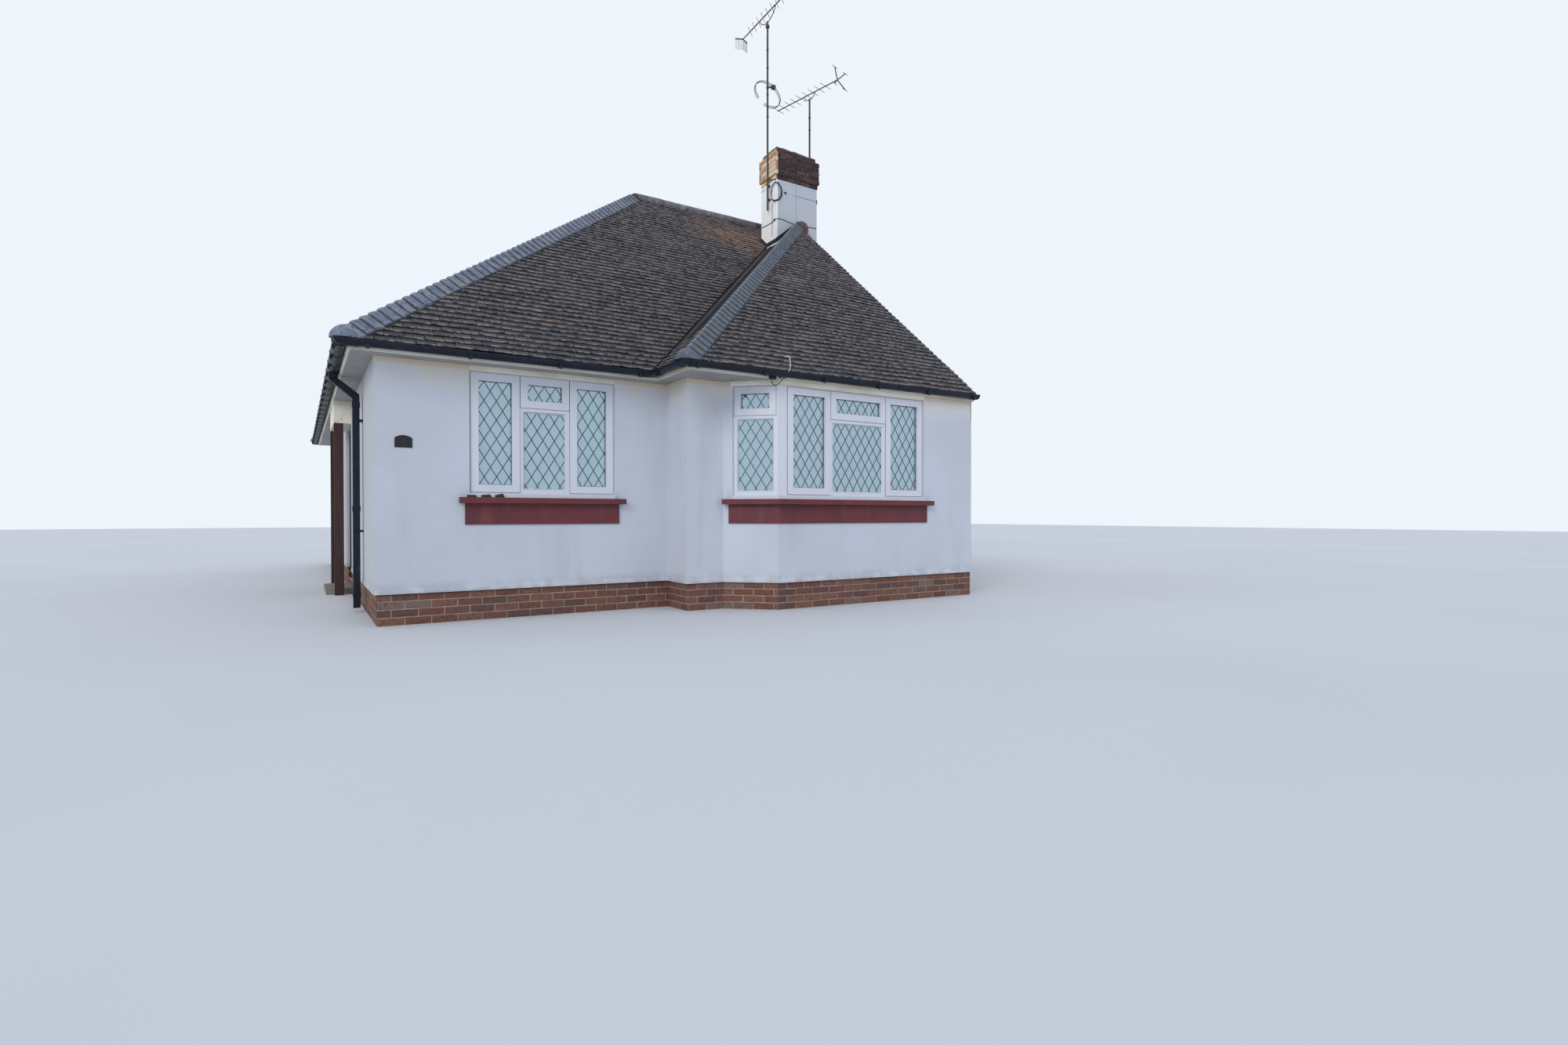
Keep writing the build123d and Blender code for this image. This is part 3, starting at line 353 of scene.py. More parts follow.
# %% [markdown]
# ## Brick, mortar and tile
#
# Each brick and tile is a solid of its own and carries a random number called tone. Two or three
# layers keyed to that number give the mix of reds, purples and browns that a batch has, and patches
# in metres add soot, lime and lichen across them all.

# %% Brick, mortar and tile
red_brick = mix("red_brick", (116, 78, 68), (0.85, 0.0, 0.3), [
    (("tone", 0.35, 0.45), (128, 90, 78)), (("tone", 0.62, 0.78), (100, 74, 72)),
    (("tone", 0.9, 0.95), (124, 104, 96)),
    ((28.0, 0.5, 0.7), (92, 62, 56), 0.7), ((60.0, 0.6, 0.72), (168, 146, 132), 0.55),
], [((120.0, 0.3, 0.7), 0.0015)])
buff_mortar = mix("buff_mortar", (180, 160, 142), (0.95, 0.0, 0.2), [
    ((9.0,), (148, 130, 116), 0.7), (past_party, party_clay),
], [((180.0,), 0.0015)], bricks=past_party)
party_brick = mix("party_brick", party_clay, (0.95, 0.0, 0.2), [], [((90.0,), 0.002)], bricks=1.0)

sunny = ("band", head_left_x + 0.05, head_left_x + 0.03, across)
chimney_brick = mix("chimney_brick", (66, 51, 55), (0.9, 0.0, 0.25), [
    (("tone", 0.25, 0.4), (82, 58, 56)), (("tone", 0.55, 0.65), (64, 52, 64)),
    (("tone", 0.8, 0.9), (104, 78, 66)), ((22.0, 0.45, 0.65), (50, 42, 48), 0.8),
    (sunny, (206, 154, 118), 0.9), ([sunny, ("tone", 0.35, 0.5)], (244, 226, 194), 0.9),
    ([sunny, (14.0, 0.52, 0.64)], (246, 208, 140), 0.6), ((48.0, 0.6, 0.7), (160, 140, 128), 0.6),
], [((90.0, 0.3, 0.7), 0.003)])
chimney_mortar = mix("chimney_mortar", (112, 98, 90), (0.95, 0.0, 0.2), [
    ((14.0,), (74, 66, 66), 0.8), (sunny, (222, 210, 188), 0.85),
    ((40.0, 0.58, 0.7), (150, 146, 138), 0.6),
], [((70.0,), 0.004)])

plain_tile = mix("plain_tile", (74, 71, 77), (0.8, 0.0, 0.35), [
    (("tone", 0.3, 0.4), (86, 79, 81)), (("tone", 0.62, 0.72), (62, 62, 72)),
    (("tone", 0.93, 0.96), (108, 95, 89)),
    ((1.1, 0.45, 0.7), (60, 59, 68), 0.6), ((26.0, 0.52, 0.7), (56, 54, 60), 0.7),
    # Painted sunlight: a warm, lighter patch on the tiles near the stack.
    ([("spot", (2.45, -0.72, 5.7), 1.3), (5.0, 0.3, 0.6)], (158, 118, 92), 0.85),
    # Painted shadow: each tile darkens towards its head, under the tail of the next course.
    (("up", 0.26, 0.58), (24, 23, 28), 0.92),
    ([("up", 0.16, 0.02), (16.0, 0.4, 0.6)], (166, 158, 154), 0.7),
    ((38.0, 0.67, 0.72), (176, 172, 166), 0.8),
], [((110.0, 0.3, 0.7), 0.0016)])
hip_tile = mix("hip_tile", (118, 127, 147), (0.7, 0.0, 0.4), [
    (("tone", 0.25, 0.4), (112, 122, 146)), (("tone", 0.7, 0.8), (134, 138, 150)),
    ((9.0, 0.4, 0.7), (146, 150, 160), 0.7),
    (("band", 2.0, 3.4, (1, -1, 0)), (92, 100, 110), 0.85), ((24.0, 0.5, 0.66), (84, 88, 94), 0.75),
    ([("band", 5.95, 6.15), (10.0, 0.35, 0.6)], (104, 94, 90), 0.85),
    # Painted highlight along the crest, and painted shadow under the rim of the next tile.
    (("crest", 0.3, 1.0), (148, 160, 176), 0.6), (("up", 0.7, 0.95), (30, 32, 38), 0.92),
    (("spot", (-0.86, -5.26, 2.52), 0.24), (74, 84, 98), 0.8),
    ((40.0, 0.64, 0.7), (190, 188, 180), 0.5),
], [((80.0,), 0.0018)])
bedding_mortar = mix("bedding_mortar", (78, 78, 82), (0.95, 0.0, 0.2), [
    ((18.0,), (52, 52, 56), 0.8), ((30.0, 0.6, 0.7), (130, 128, 122), 0.6),
], [((60.0,), 0.004)])
roof_felt = mix("roof_felt", (34, 32, 34), (0.95, 0.0, 0.2),
                [((6.0,), (46, 42, 42), 0.8)], [((60.0,), 0.001)])
valley_lead = mix("valley_lead", (34, 35, 40), (0.6, 0.0, 0.4), [
    ((8.0,), (50, 52, 58), 0.6), (("spot", (-0.8, -4.42, 2.55), 0.3), (92, 108, 102), 0.9),
], [((12.0,), 0.002)])
terracotta = mix("terracotta", (116, 82, 70), (0.8, 0.0, 0.3),
                 [((20.0, 0.4, 0.6), (84, 68, 64), 0.8)], [((70.0,), 0.002)])
print("bricks, mortars, tiles and lead mixed")

# %% [markdown]
# ## Joinery, plastic, glass and metal
#
# The windows are white plastic with a faint cool sheen, the eaves boards are oil-painted and have
# yellowed, and the sills are a thick dark red floor paint that has worn at the edges. The glass lets
# the eye through and mirrors the sky, and the aerials are weathered alloy.

# %% Joinery, plastic, glass and metal
window_plastic = mix("window_plastic", (216, 219, 228), (0.35, 0.0, 0.5), [
    ((5.0, 0.5, 0.8, (1, 1, 0.3)), (204, 206, 212), 0.5), ((30.0, 0.66, 0.75), (170, 168, 164), 0.4),
], [((60.0,), 0.0002)])
eaves_board = mix("eaves_board", (240, 235, 219), (0.5, 0.0, 0.4), [
    ((2.0, 0.4, 0.7, (1, 1, 3)), (208, 198, 172), 0.7), ((24.0, 0.64, 0.74), (160, 150, 134), 0.5),
], [((30.0, 0.4, 0.6, (0.1, 0.1, 1)), 0.0006)])
# Painted shade: the soffit is the same painted board as the fascia, coloured grey for the shade under the
# eaves.
shaded_soffit_board = mix("shaded_soffit_board", (160, 158, 156), (0.6, 0.0, 0.3), [
    ((3.0, 0.4, 0.7), (138, 134, 130), 0.7), ((24.0, 0.6, 0.72), (120, 114, 106), 0.6),
], [((30.0,), 0.0005)])
sill_paint = mix("sill_paint", (106, 48, 52), (0.55, 0.0, 0.4), [
    ((4.0, 0.4, 0.7, (1, 1, 0.5)), (92, 42, 50), 0.8),
    ((9.0, 0.55, 0.75, (1, 1, 0.2)), (120, 66, 66), 0.6), ((70.0, 0.72, 0.76), (160, 126, 124), 0.6),
], [((45.0, 0.2, 0.8, (1, 1, 0.3)), 0.0012)])
gutter_plastic = mix("gutter_plastic", (20, 25, 38), (0.45, 0.0, 0.3), [
    ((7.0, 0.45, 0.7), (30, 36, 50), 0.6), ((30.0, 0.64, 0.72), (84, 86, 88), 0.4),
], [((40.0,), 0.0003)])
brown_timber = mix("brown_timber", (66, 42, 36), (0.5, 0.0, 0.4), [
    ((9.0, 0.4, 0.65, (4, 4, 0.25)), (46, 30, 28), 0.8),
    ((20.0, 0.55, 0.75, (4, 4, 0.2)), (88, 60, 50), 0.6),
], [((30.0, 0.2, 0.8, (4, 4, 0.15)), 0.001)])
dark_plate = mix("dark_plate", (44, 44, 50), (0.4, 0.6, 0.5),
                 [((60.0, 0.5, 0.7), (70, 68, 70), 0.6)], [((200.0,), 0.0003)])
aerial_alloy = mix("aerial_alloy", (84, 82, 86), (0.5, 0.7, 0.5), [
    ((25.0, 0.45, 0.65), (52, 48, 50), 0.8), ((60.0, 0.6, 0.7), (120, 92, 78), 0.5),
], [((140.0,), 0.0003)])
came_lead = mix("came_lead", (62, 66, 70), (0.5, 0.4, 0.5), [((30.0,), (98, 102, 106), 0.5)], [])
black_rubber = mix("black_rubber", (28, 28, 30), (0.7, 0.0, 0.5), [((50.0,), (46, 46, 48), 0.6)], [])
# Grey sash seal, which also stands in for the shadow line between sash and frame.
grey_seal_shadow_line = mix("grey_seal_shadow_line", (118, 122, 130), (0.7, 0.0, 0.5), [((40.0,), (92, 96, 104), 0.7)], [])
pane_glass = mix("pane_glass", (196, 222, 234), (0.03, 0.4, 0.8),
                 [((3.0, 0.5, 0.8), (182, 208, 222), 0.4)],
                 [((1.6, 0.4, 0.6, (1, 1, 1), 1.0), 0.0016)], Transmission_Weight=0.6, IOR=1.5)

finish_of_slot = {
    "brick": buff_mortar, "party_brick": party_brick, "chimney_brick": chimney_mortar,
    "concrete": floor_concrete, "plaster": wall_plaster, "render": masonry_paint,
    "roof_tile": plain_tile, "hip_tile": hip_tile, "valley_lead": valley_lead,
    "painted_board": eaves_board, "black_plastic": gutter_plastic,
    "white_plastic": window_plastic, "glass": pane_glass, "maroon_paint": sill_paint,
    "brown_timber": brown_timber, "dark_plate": dark_plate, "grey_metal": aerial_alloy,
}
for part in frame["record"]["subparts"]:
    slots = nodes[part["node"]].data.materials
    slots.clear()
    slots.append(finish_of_slot[part["material_slot"]])
# The soffit takes the grey, painted-shade copy of the eaves board.
nodes["soffit"].data.materials[0] = shaded_soffit_board
print("joinery, plastics, glass and metals mixed, finishes set on", len(nodes), "pieces")

# %% [markdown]
# ## Laying pieces
#
# Bricks and plain tiles are laid in the same way: in rows, each shifted by half a unit over the row
# below, with small errors in place and tilt. Hip tiles, ridge tiles, lead strips and gutter brackets
# repeat along one line. Two geometry trees do that for any unit, and they end alike: they store a
# tone on each copy, make the copies real and give them their finish.


# %% Geometry trees for courses and rows
def laying_tree(name, sizes, fill):
    """Tree that sets copies of a unit on points, with small random turns and a tone for each."""
    inputs = {"Unit": ("Object", None), "Finish": ("Material", None), "Seed": ("Int", 1)}
    inputs.update({label: ("Float", value) for label, value in sizes.items()})
    tree, sockets = new_group(name, "GeometryNodeTree", inputs, {"Geometry": "Geometry"})
    points, tilt = fill(tree, sockets, partial(math_node, tree))
    unit = add_node(tree, "GeometryNodeObjectInfo", {"Object": sockets["Unit"]}).outputs["Geometry"]
    spread, back = sockets["Wobble"], math_node(tree, "MULTIPLY", sockets["Wobble"], -1.0)
    wobble = add_node(tree, "FunctionNodeRandomValue", {
        "Seed": sockets["Seed"], "Min": vector_of(tree, back, back, back),
        "Max": vector_of(tree, spread, spread, spread),
    }, data_type="FLOAT_VECTOR").outputs["Value"]
    copies = add_node(tree, "GeometryNodeInstanceOnPoints", {
        "Points": points, "Instance": unit, "Rotation": vector_node(tree, "ADD", tilt, wobble),
    }).outputs[0]
    tone = add_node(tree, "FunctionNodeRandomValue", {"Seed": sockets["Seed"]}, data_type="FLOAT")
    toned = add_node(tree, "GeometryNodeStoreNamedAttribute", {
        "Geometry": copies, "Name": "tone",
    }, data_type="FLOAT", domain="INSTANCE")
    tree.links.new(tone.outputs[1], toned.inputs["Value"])
    real = add_node(tree, "GeometryNodeRealizeInstances", {0: toned.outputs[0]}).outputs[0]
    done = add_node(tree, "GeometryNodeSetMaterial", {"Geometry": real, "Material": sockets["Finish"]})
    tree.links.new(done.outputs[0], tree.nodes.new("NodeGroupOutput").inputs[0])
    print(name, "has", len(tree.nodes), "nodes")
    return tree


def in_courses(tree, sockets, result):
    """Points in rows, each row shifted by half a step, on a slightly swelling face."""
    step, gauge = sockets["Step"], sockets["Gauge"]
    columns = result("ADD", result("CEIL", result("DIVIDE", sockets["Width"], step)), 3.0)
    rows = result("ADD", result("CEIL", result("DIVIDE", sockets["Rise"], gauge)), 2.0)
    size_x = result("MULTIPLY", result("SUBTRACT", columns, 1.0), step)
    size_y = result("MULTIPLY", result("SUBTRACT", rows, 1.0), gauge)
    grid = add_node(tree, "GeometryNodeMeshGrid", {
        "Size X": size_x, "Size Y": size_y, "Vertices X": columns, "Vertices Y": rows,
    }).outputs[0]
    row = result("MODULO", add_node(tree, "GeometryNodeInputIndex").outputs[0], rows)
    half_step = result("MULTIPLY", result("MULTIPLY", result("MODULO", row, 2.0), 0.5), step)
    start = result("SUBTRACT", result("MULTIPLY", size_x, 0.5), step)
    move_x = result("ADD", result("ADD", start, half_step), sockets["Shift"])
    waves = add_node(tree, "ShaderNodeTexNoise", {"Scale": 1.1, "Detail": 3.0}).outputs[0]
    swell = result("MULTIPLY", result("SUBTRACT", waves, 0.5), sockets["Sag"])
    move_y = result("ADD", result("MULTIPLY", size_y, 0.5), swell)
    moved = {"Geometry": grid, "Offset": vector_of(tree, move_x, move_y, swell)}
    return (add_node(tree, "GeometryNodeSetPosition", moved).outputs[0],
            vector_of(tree, sockets["Tilt"]))


def in_a_row(tree, sockets, result):
    """Points at equal steps along X, as many as the length holds."""
    count = result("DIVIDE", result("ADD", sockets["Length"], 1e-4), sockets["Step"])
    line = add_node(tree, "GeometryNodeMeshLine", {
        "Count": result("ADD", result("FLOOR", count), 1.0),
        "Offset": vector_of(tree, sockets["Step"]),
    }).outputs[0]
    return line, vector_of(tree, 0.0, sockets["Tilt"])


courses_tree = laying_tree("Laid courses", {
    "Width": 1.0, "Rise": 1.0, "Step": 0.2, "Gauge": 0.1, "Tilt": 0.0, "Wobble": 0.0, "Shift": 0.0,
    "Sag": 0.0,
}, in_courses)
row_tree = laying_tree(
    "Row of pieces", {"Length": 1.0, "Step": 0.1, "Tilt": 0.0, "Wobble": 0.0}, in_a_row)


# %% Making, trimming and keeping pieces
def grow(tree, name, unit, **values):
    """Plain mesh object from a geometry tree, the unit that it lays and its other named inputs."""
    values.update(unit=unit, finish=unit.data.materials[0])
    host = shown(name, bpy.data.meshes.new(name))
    modifier = host.modifiers.new(tree.name, "NODES")
    modifier.node_group = tree
    for label, value in values.items():
        modifier[tree.interface.items_tree[label.capitalize()].identifier] = value
    graph = bpy.context.evaluated_depsgraph_get()
    mesh = bpy.data.meshes.new_from_object(
        host.evaluated_get(graph), preserve_all_data_layers=True, depsgraph=graph)
    host.modifiers.remove(modifier)
    host.data = mesh
    return host


def trim(piece, cuts):
    """Cut a piece off beyond each plane, given by a point and an outward normal, and close it."""
    shape = bmesh.new()
    shape.from_mesh(piece.data)
    for point, outward in cuts:
        everything = shape.verts[:] + shape.edges[:] + shape.faces[:]
        cut = bmesh.ops.bisect_plane(
            shape, geom=everything, dist=1e-6, plane_co=point, plane_no=outward, clear_outer=True)
        edges = [item for item in cut["geom_cut"] if isinstance(item, bmesh.types.BMEdge)]
        bmesh.ops.holes_fill(shape, edges=edges, sides=0)
    bmesh.ops.recalc_face_normals(shape, faces=shape.faces)
    shape.to_mesh(piece.data)
    shape.free()
    return piece


def loft(name, rings, finish, closed=False):
    """Solid through rings of points: its ends are closed, or its last ring meets the first."""
    count, last = len(rings[0]), len(rings)
    faces = [(r * count + i, r * count + (i + 1) % count,
              (r + 1) % last * count + (i + 1) % count, (r + 1) % last * count + i)
             for r in range(last if closed else last - 1) for i in range(count)]
    if not closed:
        faces += [tuple(range(count)), tuple((last - 1) * count + i for i in range(count))]
    mesh = bpy.data.meshes.new(name)
    mesh.from_pydata([tuple(point) for ring in rings for point in ring], [], faces)
    shape = bmesh.new()
    shape.from_mesh(mesh)
    bmesh.ops.recalc_face_normals(shape, faces=shape.faces)
    shape.to_mesh(mesh)
    shape.free()
    mesh.materials.append(finish)
    return shown(name, mesh)


def join(name, pieces):
    """One piece from several, which keep their finishes."""
    bpy.ops.object.select_all(action="DESELECT")
    for piece in pieces:
        piece.select_set(True)
    bpy.context.view_layer.objects.active = pieces[0]
    bpy.ops.object.join()
    pieces[0].name = name
    pieces[0].data.name = name
    return pieces[0]


def keep(piece, slot, *replaced):
    """Say that a finished piece belongs to the house, and hide the pieces it stands for; the slot is not
    used.
    """
    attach(piece, "root")
    if replaced:
        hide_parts(*replaced)
    print(piece.name, len(piece.data.polygons), "faces")


# %% [markdown]
# ## Plain tiles
#
# A plain tile is a clay board of 165 by 265 mm with a slight camber. Only its lowest 100 mm shows, and
# its tail stands a tile's thickness above the tile below. The unit made here stops at 155 mm, since
# the rest is never seen. A value called up runs from its tail to its head, and lets the finish paint
# the shadow under the tail of the next course. Each slope is tiled past its edges and then cut along the
# upright planes of its hips, valley and ridge, as on site.

# %% Where the slopes lie
roof_angle = math.radians(40.3)
rise = math.tan(roof_angle)
front_low, front_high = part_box("roof_front")
tile_left, tile_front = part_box("roof_left")[0].x, front_low.y
party_x, tile_rear = front_high.x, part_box("roof_rear")[1].y
bay_left, bay_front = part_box("bay_roof_front")[0].xy
wing_right, wing_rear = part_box("kitchen_roof_end")[1].xy
ridge_y = (tile_front + tile_rear) / 2
edge_height = front_high.z - (ridge_y - tile_front) * rise
wing_ridge_x = (tile_left + wing_right) / 2
wing_half, bay_half = wing_ridge_x - tile_left, party_x - bay_left
ridge_height = edge_height + (ridge_y - tile_front) * rise
wing_ridge_height, apex_height = edge_height + wing_half * rise, edge_height + bay_half * rise
main_apex, wing_apex, wing_joint, bay_apex = (tuple(Vector(point)) for point in (
    (tile_left + ridge_y - tile_front, ridge_y), (wing_ridge_x, wing_rear - wing_half),
    (wing_ridge_x, tile_rear - wing_half), (party_x, bay_front + bay_half)))
front_corner, bay_corner = (tile_left, tile_front), (bay_left, bay_front)
wing_left_corner, wing_corner = (tile_left, wing_rear), (wing_right, wing_rear)
bay_foot, bay_top = (bay_left, tile_front), (party_x, tile_front + bay_half)
wing_foot, wing_edge_y = (wing_right, tile_rear), wing_joint[1]
print("eaves at", round(edge_height, 3), "m, main hip ends at", [round(v, 2) for v in main_apex])

# %% One plain tile
tile_width, tile_length, tile_thickness, gauge = 0.165, 0.155, 0.015, 0.1
tile_gap, valley_gap, tile_tilt = 0.006, 0.014, -tile_thickness / gauge
half_tile = (tile_width - tile_gap) / 2
tile_profile = [(0.0, -0.009), (0.001, -0.002), (0.006, 0.0), (0.06, 0.001), (tile_length, -0.002),
                (tile_length, -tile_thickness), (0.002, -tile_thickness)]


def hidden(unit):
    """Unit taken out of the scene, to be used by a geometry tree or copied."""
    scene.collection.objects.unlink(unit)
    return unit


def store_values(unit, name, value_at):
    """Store a value on each corner of a piece, for its finish to read."""
    values = [value_at(vertex.co) for vertex in unit.data.vertices]
    unit.data.attributes.new(name, "FLOAT", "POINT").data.foreach_set("value", values)


tile_unit = hidden(loft("tile_unit", [[(side, y, z) for y, z in tile_profile]
                                      for side in (-half_tile, half_tile)], plain_tile))
# The underside counts as up 1, so it takes the painted shadow too.
store_values(tile_unit, "up", lambda place: 1.0 if place.z < -0.01 else place.y / tile_length)
print("one tile has", len(tile_unit.data.polygons), "faces")


# %% Tile each slope
def frame_of(along, up, out, origin):
    """Frame from its three axes and its origin."""
    made = Matrix((along, up, out)).transposed().to_4x4()
    made.translation = origin
    return made


def slope_frame(corner, out):
    """Frame of a slope: X along its eaves, Y up the slope and Z out of it."""
    cosine, sine = math.cos(roof_angle), math.sin(roof_angle)
    up = Vector((-out[0] * cosine, -out[1] * cosine, sine))
    normal = Vector((out[0] * sine, out[1] * sine, cosine))
    return frame_of(up.cross(normal), up, normal, (*corner, edge_height))


def upright_cut(start, end, inside, back):
    """Upright plane through two plan points, facing away from the inside point and moved back."""
    start, line = Vector(start), (Vector(end) - Vector(start)).normalized()
    normal = Vector((line.y, -line.x))
    if normal.dot(inside - start) > 0:
        normal = -normal
    return (*(start - normal * back), 0.0), (*normal, 0.0)


felt_depths = (0.034, 0.044)


def under_board(name, outline, corner, out):
    """Dark layer under the tiles of one slope, between two depths under its face."""
    rings = []
    for depth in felt_depths:
        ring = []
        for point in outline:
            run = abs((Vector(point) - Vector(corner)).dot(Vector(out)))
            ring.append((*point, edge_height + run * rise - depth / math.cos(roof_angle)))
        rings.append(ring)
    return loft(name, rings, roof_felt)


def tiled_slope(name, corner, out, width, length, seed, areas, valley):
    """Tiles over convex plan areas of a slope, each with its eaves edge, and the dark layer."""
    made = []
    for number, (eaves_edge, outline) in enumerate(areas):
        tiles = grow(courses_tree, f"{name}_{number}", tile_unit, width=width, rise=length,
                     step=tile_width, gauge=gauge, tilt=tile_tilt, wobble=0.012, sag=0.03, seed=seed)
        tiles.data.transform(slope_frame(corner, out))
        centre = sum((Vector(point) for point in outline), Vector((0, 0))) / len(outline)
        cuts = []
        for index, (point, following) in enumerate(zip(outline, outline[1:] + outline[:1])):
            if index != eaves_edge:
                back = valley_gap if set(valley) == {point, following} else 0.0
                cuts.append(upright_cut(point, following, centre, back))
        made += [trim(tiles, cuts), under_board(f"{name}_felt_{number}", outline, corner, out)]
    return join(name, made)


# Each slope has a name, the piece it stands for, a corner, its way out, how far it runs along the
# eaves, its plan depth, areas with the number of their eaves edge, and its valley.
slopes = [
    ("front_tiles", "roof_front", front_corner, (0, -1), party_x - tile_left, ridge_y - tile_front,
     [(0, [front_corner, bay_foot, bay_top, (party_x, ridge_y), main_apex])], (bay_foot, bay_top)),
    ("left_tiles", "roof_left", wing_left_corner, (-1, 0), wing_rear - tile_front,
     ridge_y - tile_front, [(3, [front_corner, main_apex, wing_joint, (tile_left, wing_edge_y)]),
                            (3, [(tile_left, wing_edge_y), wing_joint, wing_apex, wing_left_corner])],
     ()),
    ("rear_tiles", "roof_rear", (party_x, tile_rear), (0, 1), party_x - wing_ridge_x,
     ridge_y - tile_front,
     [(2, [main_apex, (party_x, ridge_y), (party_x, tile_rear), wing_foot, wing_joint])],
     (wing_foot, wing_joint)),
    ("bay_front_tiles", "bay_roof_front", bay_corner, (0, -1), bay_half, bay_half,
     [(0, [bay_corner, (party_x, bay_front), bay_apex])], ()),
    ("bay_left_tiles", "bay_roof_left", bay_foot, (-1, 0), tile_front + bay_half - bay_front,
     bay_half, [(3, [bay_corner, bay_apex, bay_top, bay_foot])], (bay_top, bay_foot)),
    ("kitchen_right_tiles", "kitchen_roof_right", (wing_right, wing_edge_y), (1, 0),
     wing_rear - wing_edge_y, wing_half, [(1, [wing_joint, wing_foot, wing_corner, wing_apex])],
     (wing_joint, wing_foot)),
    ("kitchen_end_tiles", "kitchen_roof_end", wing_corner, (0, 1), 2 * wing_half, wing_half,
     [(2, [wing_left_corner, wing_apex, wing_corner])], ()),
]
for seed, (name, node, corner, out, width, depth, areas, valley) in enumerate(slopes, 11):
    length = depth / math.cos(roof_angle)
    keep(tiled_slope(name, corner, out, width, length, seed, areas, valley), "roof_tile", node)

# %% [markdown]
# ## Hip and ridge tiles
#
# A hip is covered with bonnet tiles, one to each course, bedded in mortar. A bonnet is a saddle with a
# narrow crest and sides that flare onto the slopes. Each laps the one below, so its thick lower rim
# stands up and throws a shadow, and the lowest has a closed, rounded end. The finish also paints a
# highlight along each crest and a shadow under each rim. The ridge tiles are half round and longer,
# with a mortar joint between them. Each unit is made along X, as one profile carried across the saddle
# or swept round the line, and its row is then turned onto the hip or ridge.

# %% Hip tiles
hip_centre, hip_exposed, crest_half = -0.0435, gauge * 1.26, 0.032
half_saddle = [(0.0, 0.068), (0.013, 0.062), (crest_half, 0.044), (0.06, 0.016), (0.09, -0.012),
               (0.108, -0.0275), (0.124, -0.0405)]
saddle = [(-y, z) for y, z in reversed(half_saddle)] + half_saddle[1:]


def saddle_run(name, profile, finish):
    """Loop of (along, lift) points carried across the saddle section."""
    return loft(name, [[(along, y, z + lift) for along, lift in profile] for y, z in saddle], finish)


hip_unit = hidden(saddle_run("hip_unit", [
    (0.0, -0.024), (0.0, -0.007), (0.004, -0.002), (0.014, 0.0), (0.05, -0.004), (0.1, -0.012),
    (0.17, -0.018), (0.17, -0.032)], hip_tile))
# up and crest let the finish paint a shadow under each rim and a highlight along each crest.
store_values(hip_unit, "up", lambda place: place.x / hip_exposed)
store_values(hip_unit, "crest", lambda place: 1 - min(abs(place.y) / crest_half, 1))
hip_end_profile = [(0.02, 0.118), (-0.02, 0.117), (-0.06, 0.108), (-0.09, 0.088), (-0.108, 0.06),
                   (-0.118, 0.03), (-0.12, 0.003), (0.02, 0.003)]
gutter_low, gutter_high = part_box("gutter")
from_foot, under_top, last_tile = 0.03, 0.19, 0.15


def line_frame(start, end, up=(0, 0, 1)):
    """Frame with X from start to end and Z as near as can be to up."""
    along = (Vector(end) - Vector(start)).normalized()
    side = Vector(up).cross(along).normalized()
    return frame_of(along, side, along.cross(side), start)


def swept(name, profile, start_angle, end_angle, steps, finish, centre=0.0):
    """Profile of (along, radius) points swept round the X axis; angles run from Z towards -Y."""
    rings = []
    for step in range(steps + 1):
        angle = math.radians(start_angle + (end_angle - start_angle) * step / steps)
        rings.append([(along, -radius * math.sin(angle), centre + radius * math.cos(angle))
                      for along, radius in profile])
    return loft(name, rings, finish)


def hip_run(name, foot, top, seed, foot_height=edge_height, rounded=True):
    """Hip tiles with their mortar bed from a foot point up to a top point."""
    start = Vector((*foot, foot_height))
    end = Vector((*top, foot_height + abs(top[0] - foot[0]) * rise))
    start += (end - start).normalized() * from_foot
    length = (end - start).length - under_top
    made = [
        grow(row_tree, name, hip_unit, length=length, step=hip_exposed, tilt=0.02, wobble=0.02,
             seed=seed),
        saddle_run(name + "_bed", [(0.0, -0.075), (0.0, -0.017), (length + last_tile, -0.017),
                                   (length + last_tile, -0.075)], bedding_mortar),
    ]
    if rounded:
        made.append(swept(name + "_end", hip_end_profile, -179.9, 179.9, 22, hip_tile, hip_centre))
    for piece in made:
        piece.data.transform(line_frame(start, end))
    if rounded:
        trim(made[-1], [((0, 0, gutter_high.z + 0.004), (0, 0, -1))])
    return made


keep(join("hip_tiles_round_front", hip_run("front_hip", front_corner, main_apex, 21)),
     "hip_tile", "hip_tiles_front")
keep(join("hip_tiles_round_bay", hip_run("bay_hip", bay_corner, bay_apex, 22)),
     "hip_tile", "hip_tiles_bay")
rear_hips = hip_run("upper_hip", wing_joint, main_apex, 23, wing_ridge_height, False)
rear_hips += hip_run("left_hip", wing_left_corner, wing_apex, 24)
rear_hips += hip_run("right_hip", wing_corner, wing_apex, 25)
keep(join("hip_tiles_round_rear", rear_hips), "hip_tile", "hip_tiles_rear")

# %% Ridge tiles
ridge_centre, ridge_step = -0.0706, 0.45
ridge_unit = hidden(swept("ridge_unit", [(0.0, 0.092), (0.0, 0.107), (0.438, 0.107), (0.438, 0.092)],
                          -100, 100, 12, hip_tile, ridge_centre))
store_values(ridge_unit, "up", lambda place: 0.5)


def ridge_run(name, start, end, seed):
    """Ridge tiles with a mortar joint between them."""
    length = (Vector(end) - Vector(start)).length
    made = [
        grow(row_tree, name, ridge_unit, length=length - ridge_step, step=ridge_step, wobble=0.008,
             seed=seed),
        swept(name + "_bed", [(0.0, 0.002), (0.0, 0.104), (length, 0.104), (length, 0.002)],
              -101, 101, 12, bedding_mortar, ridge_centre),
    ]
    for piece in made:
        piece.data.transform(line_frame(start, end))
    return made


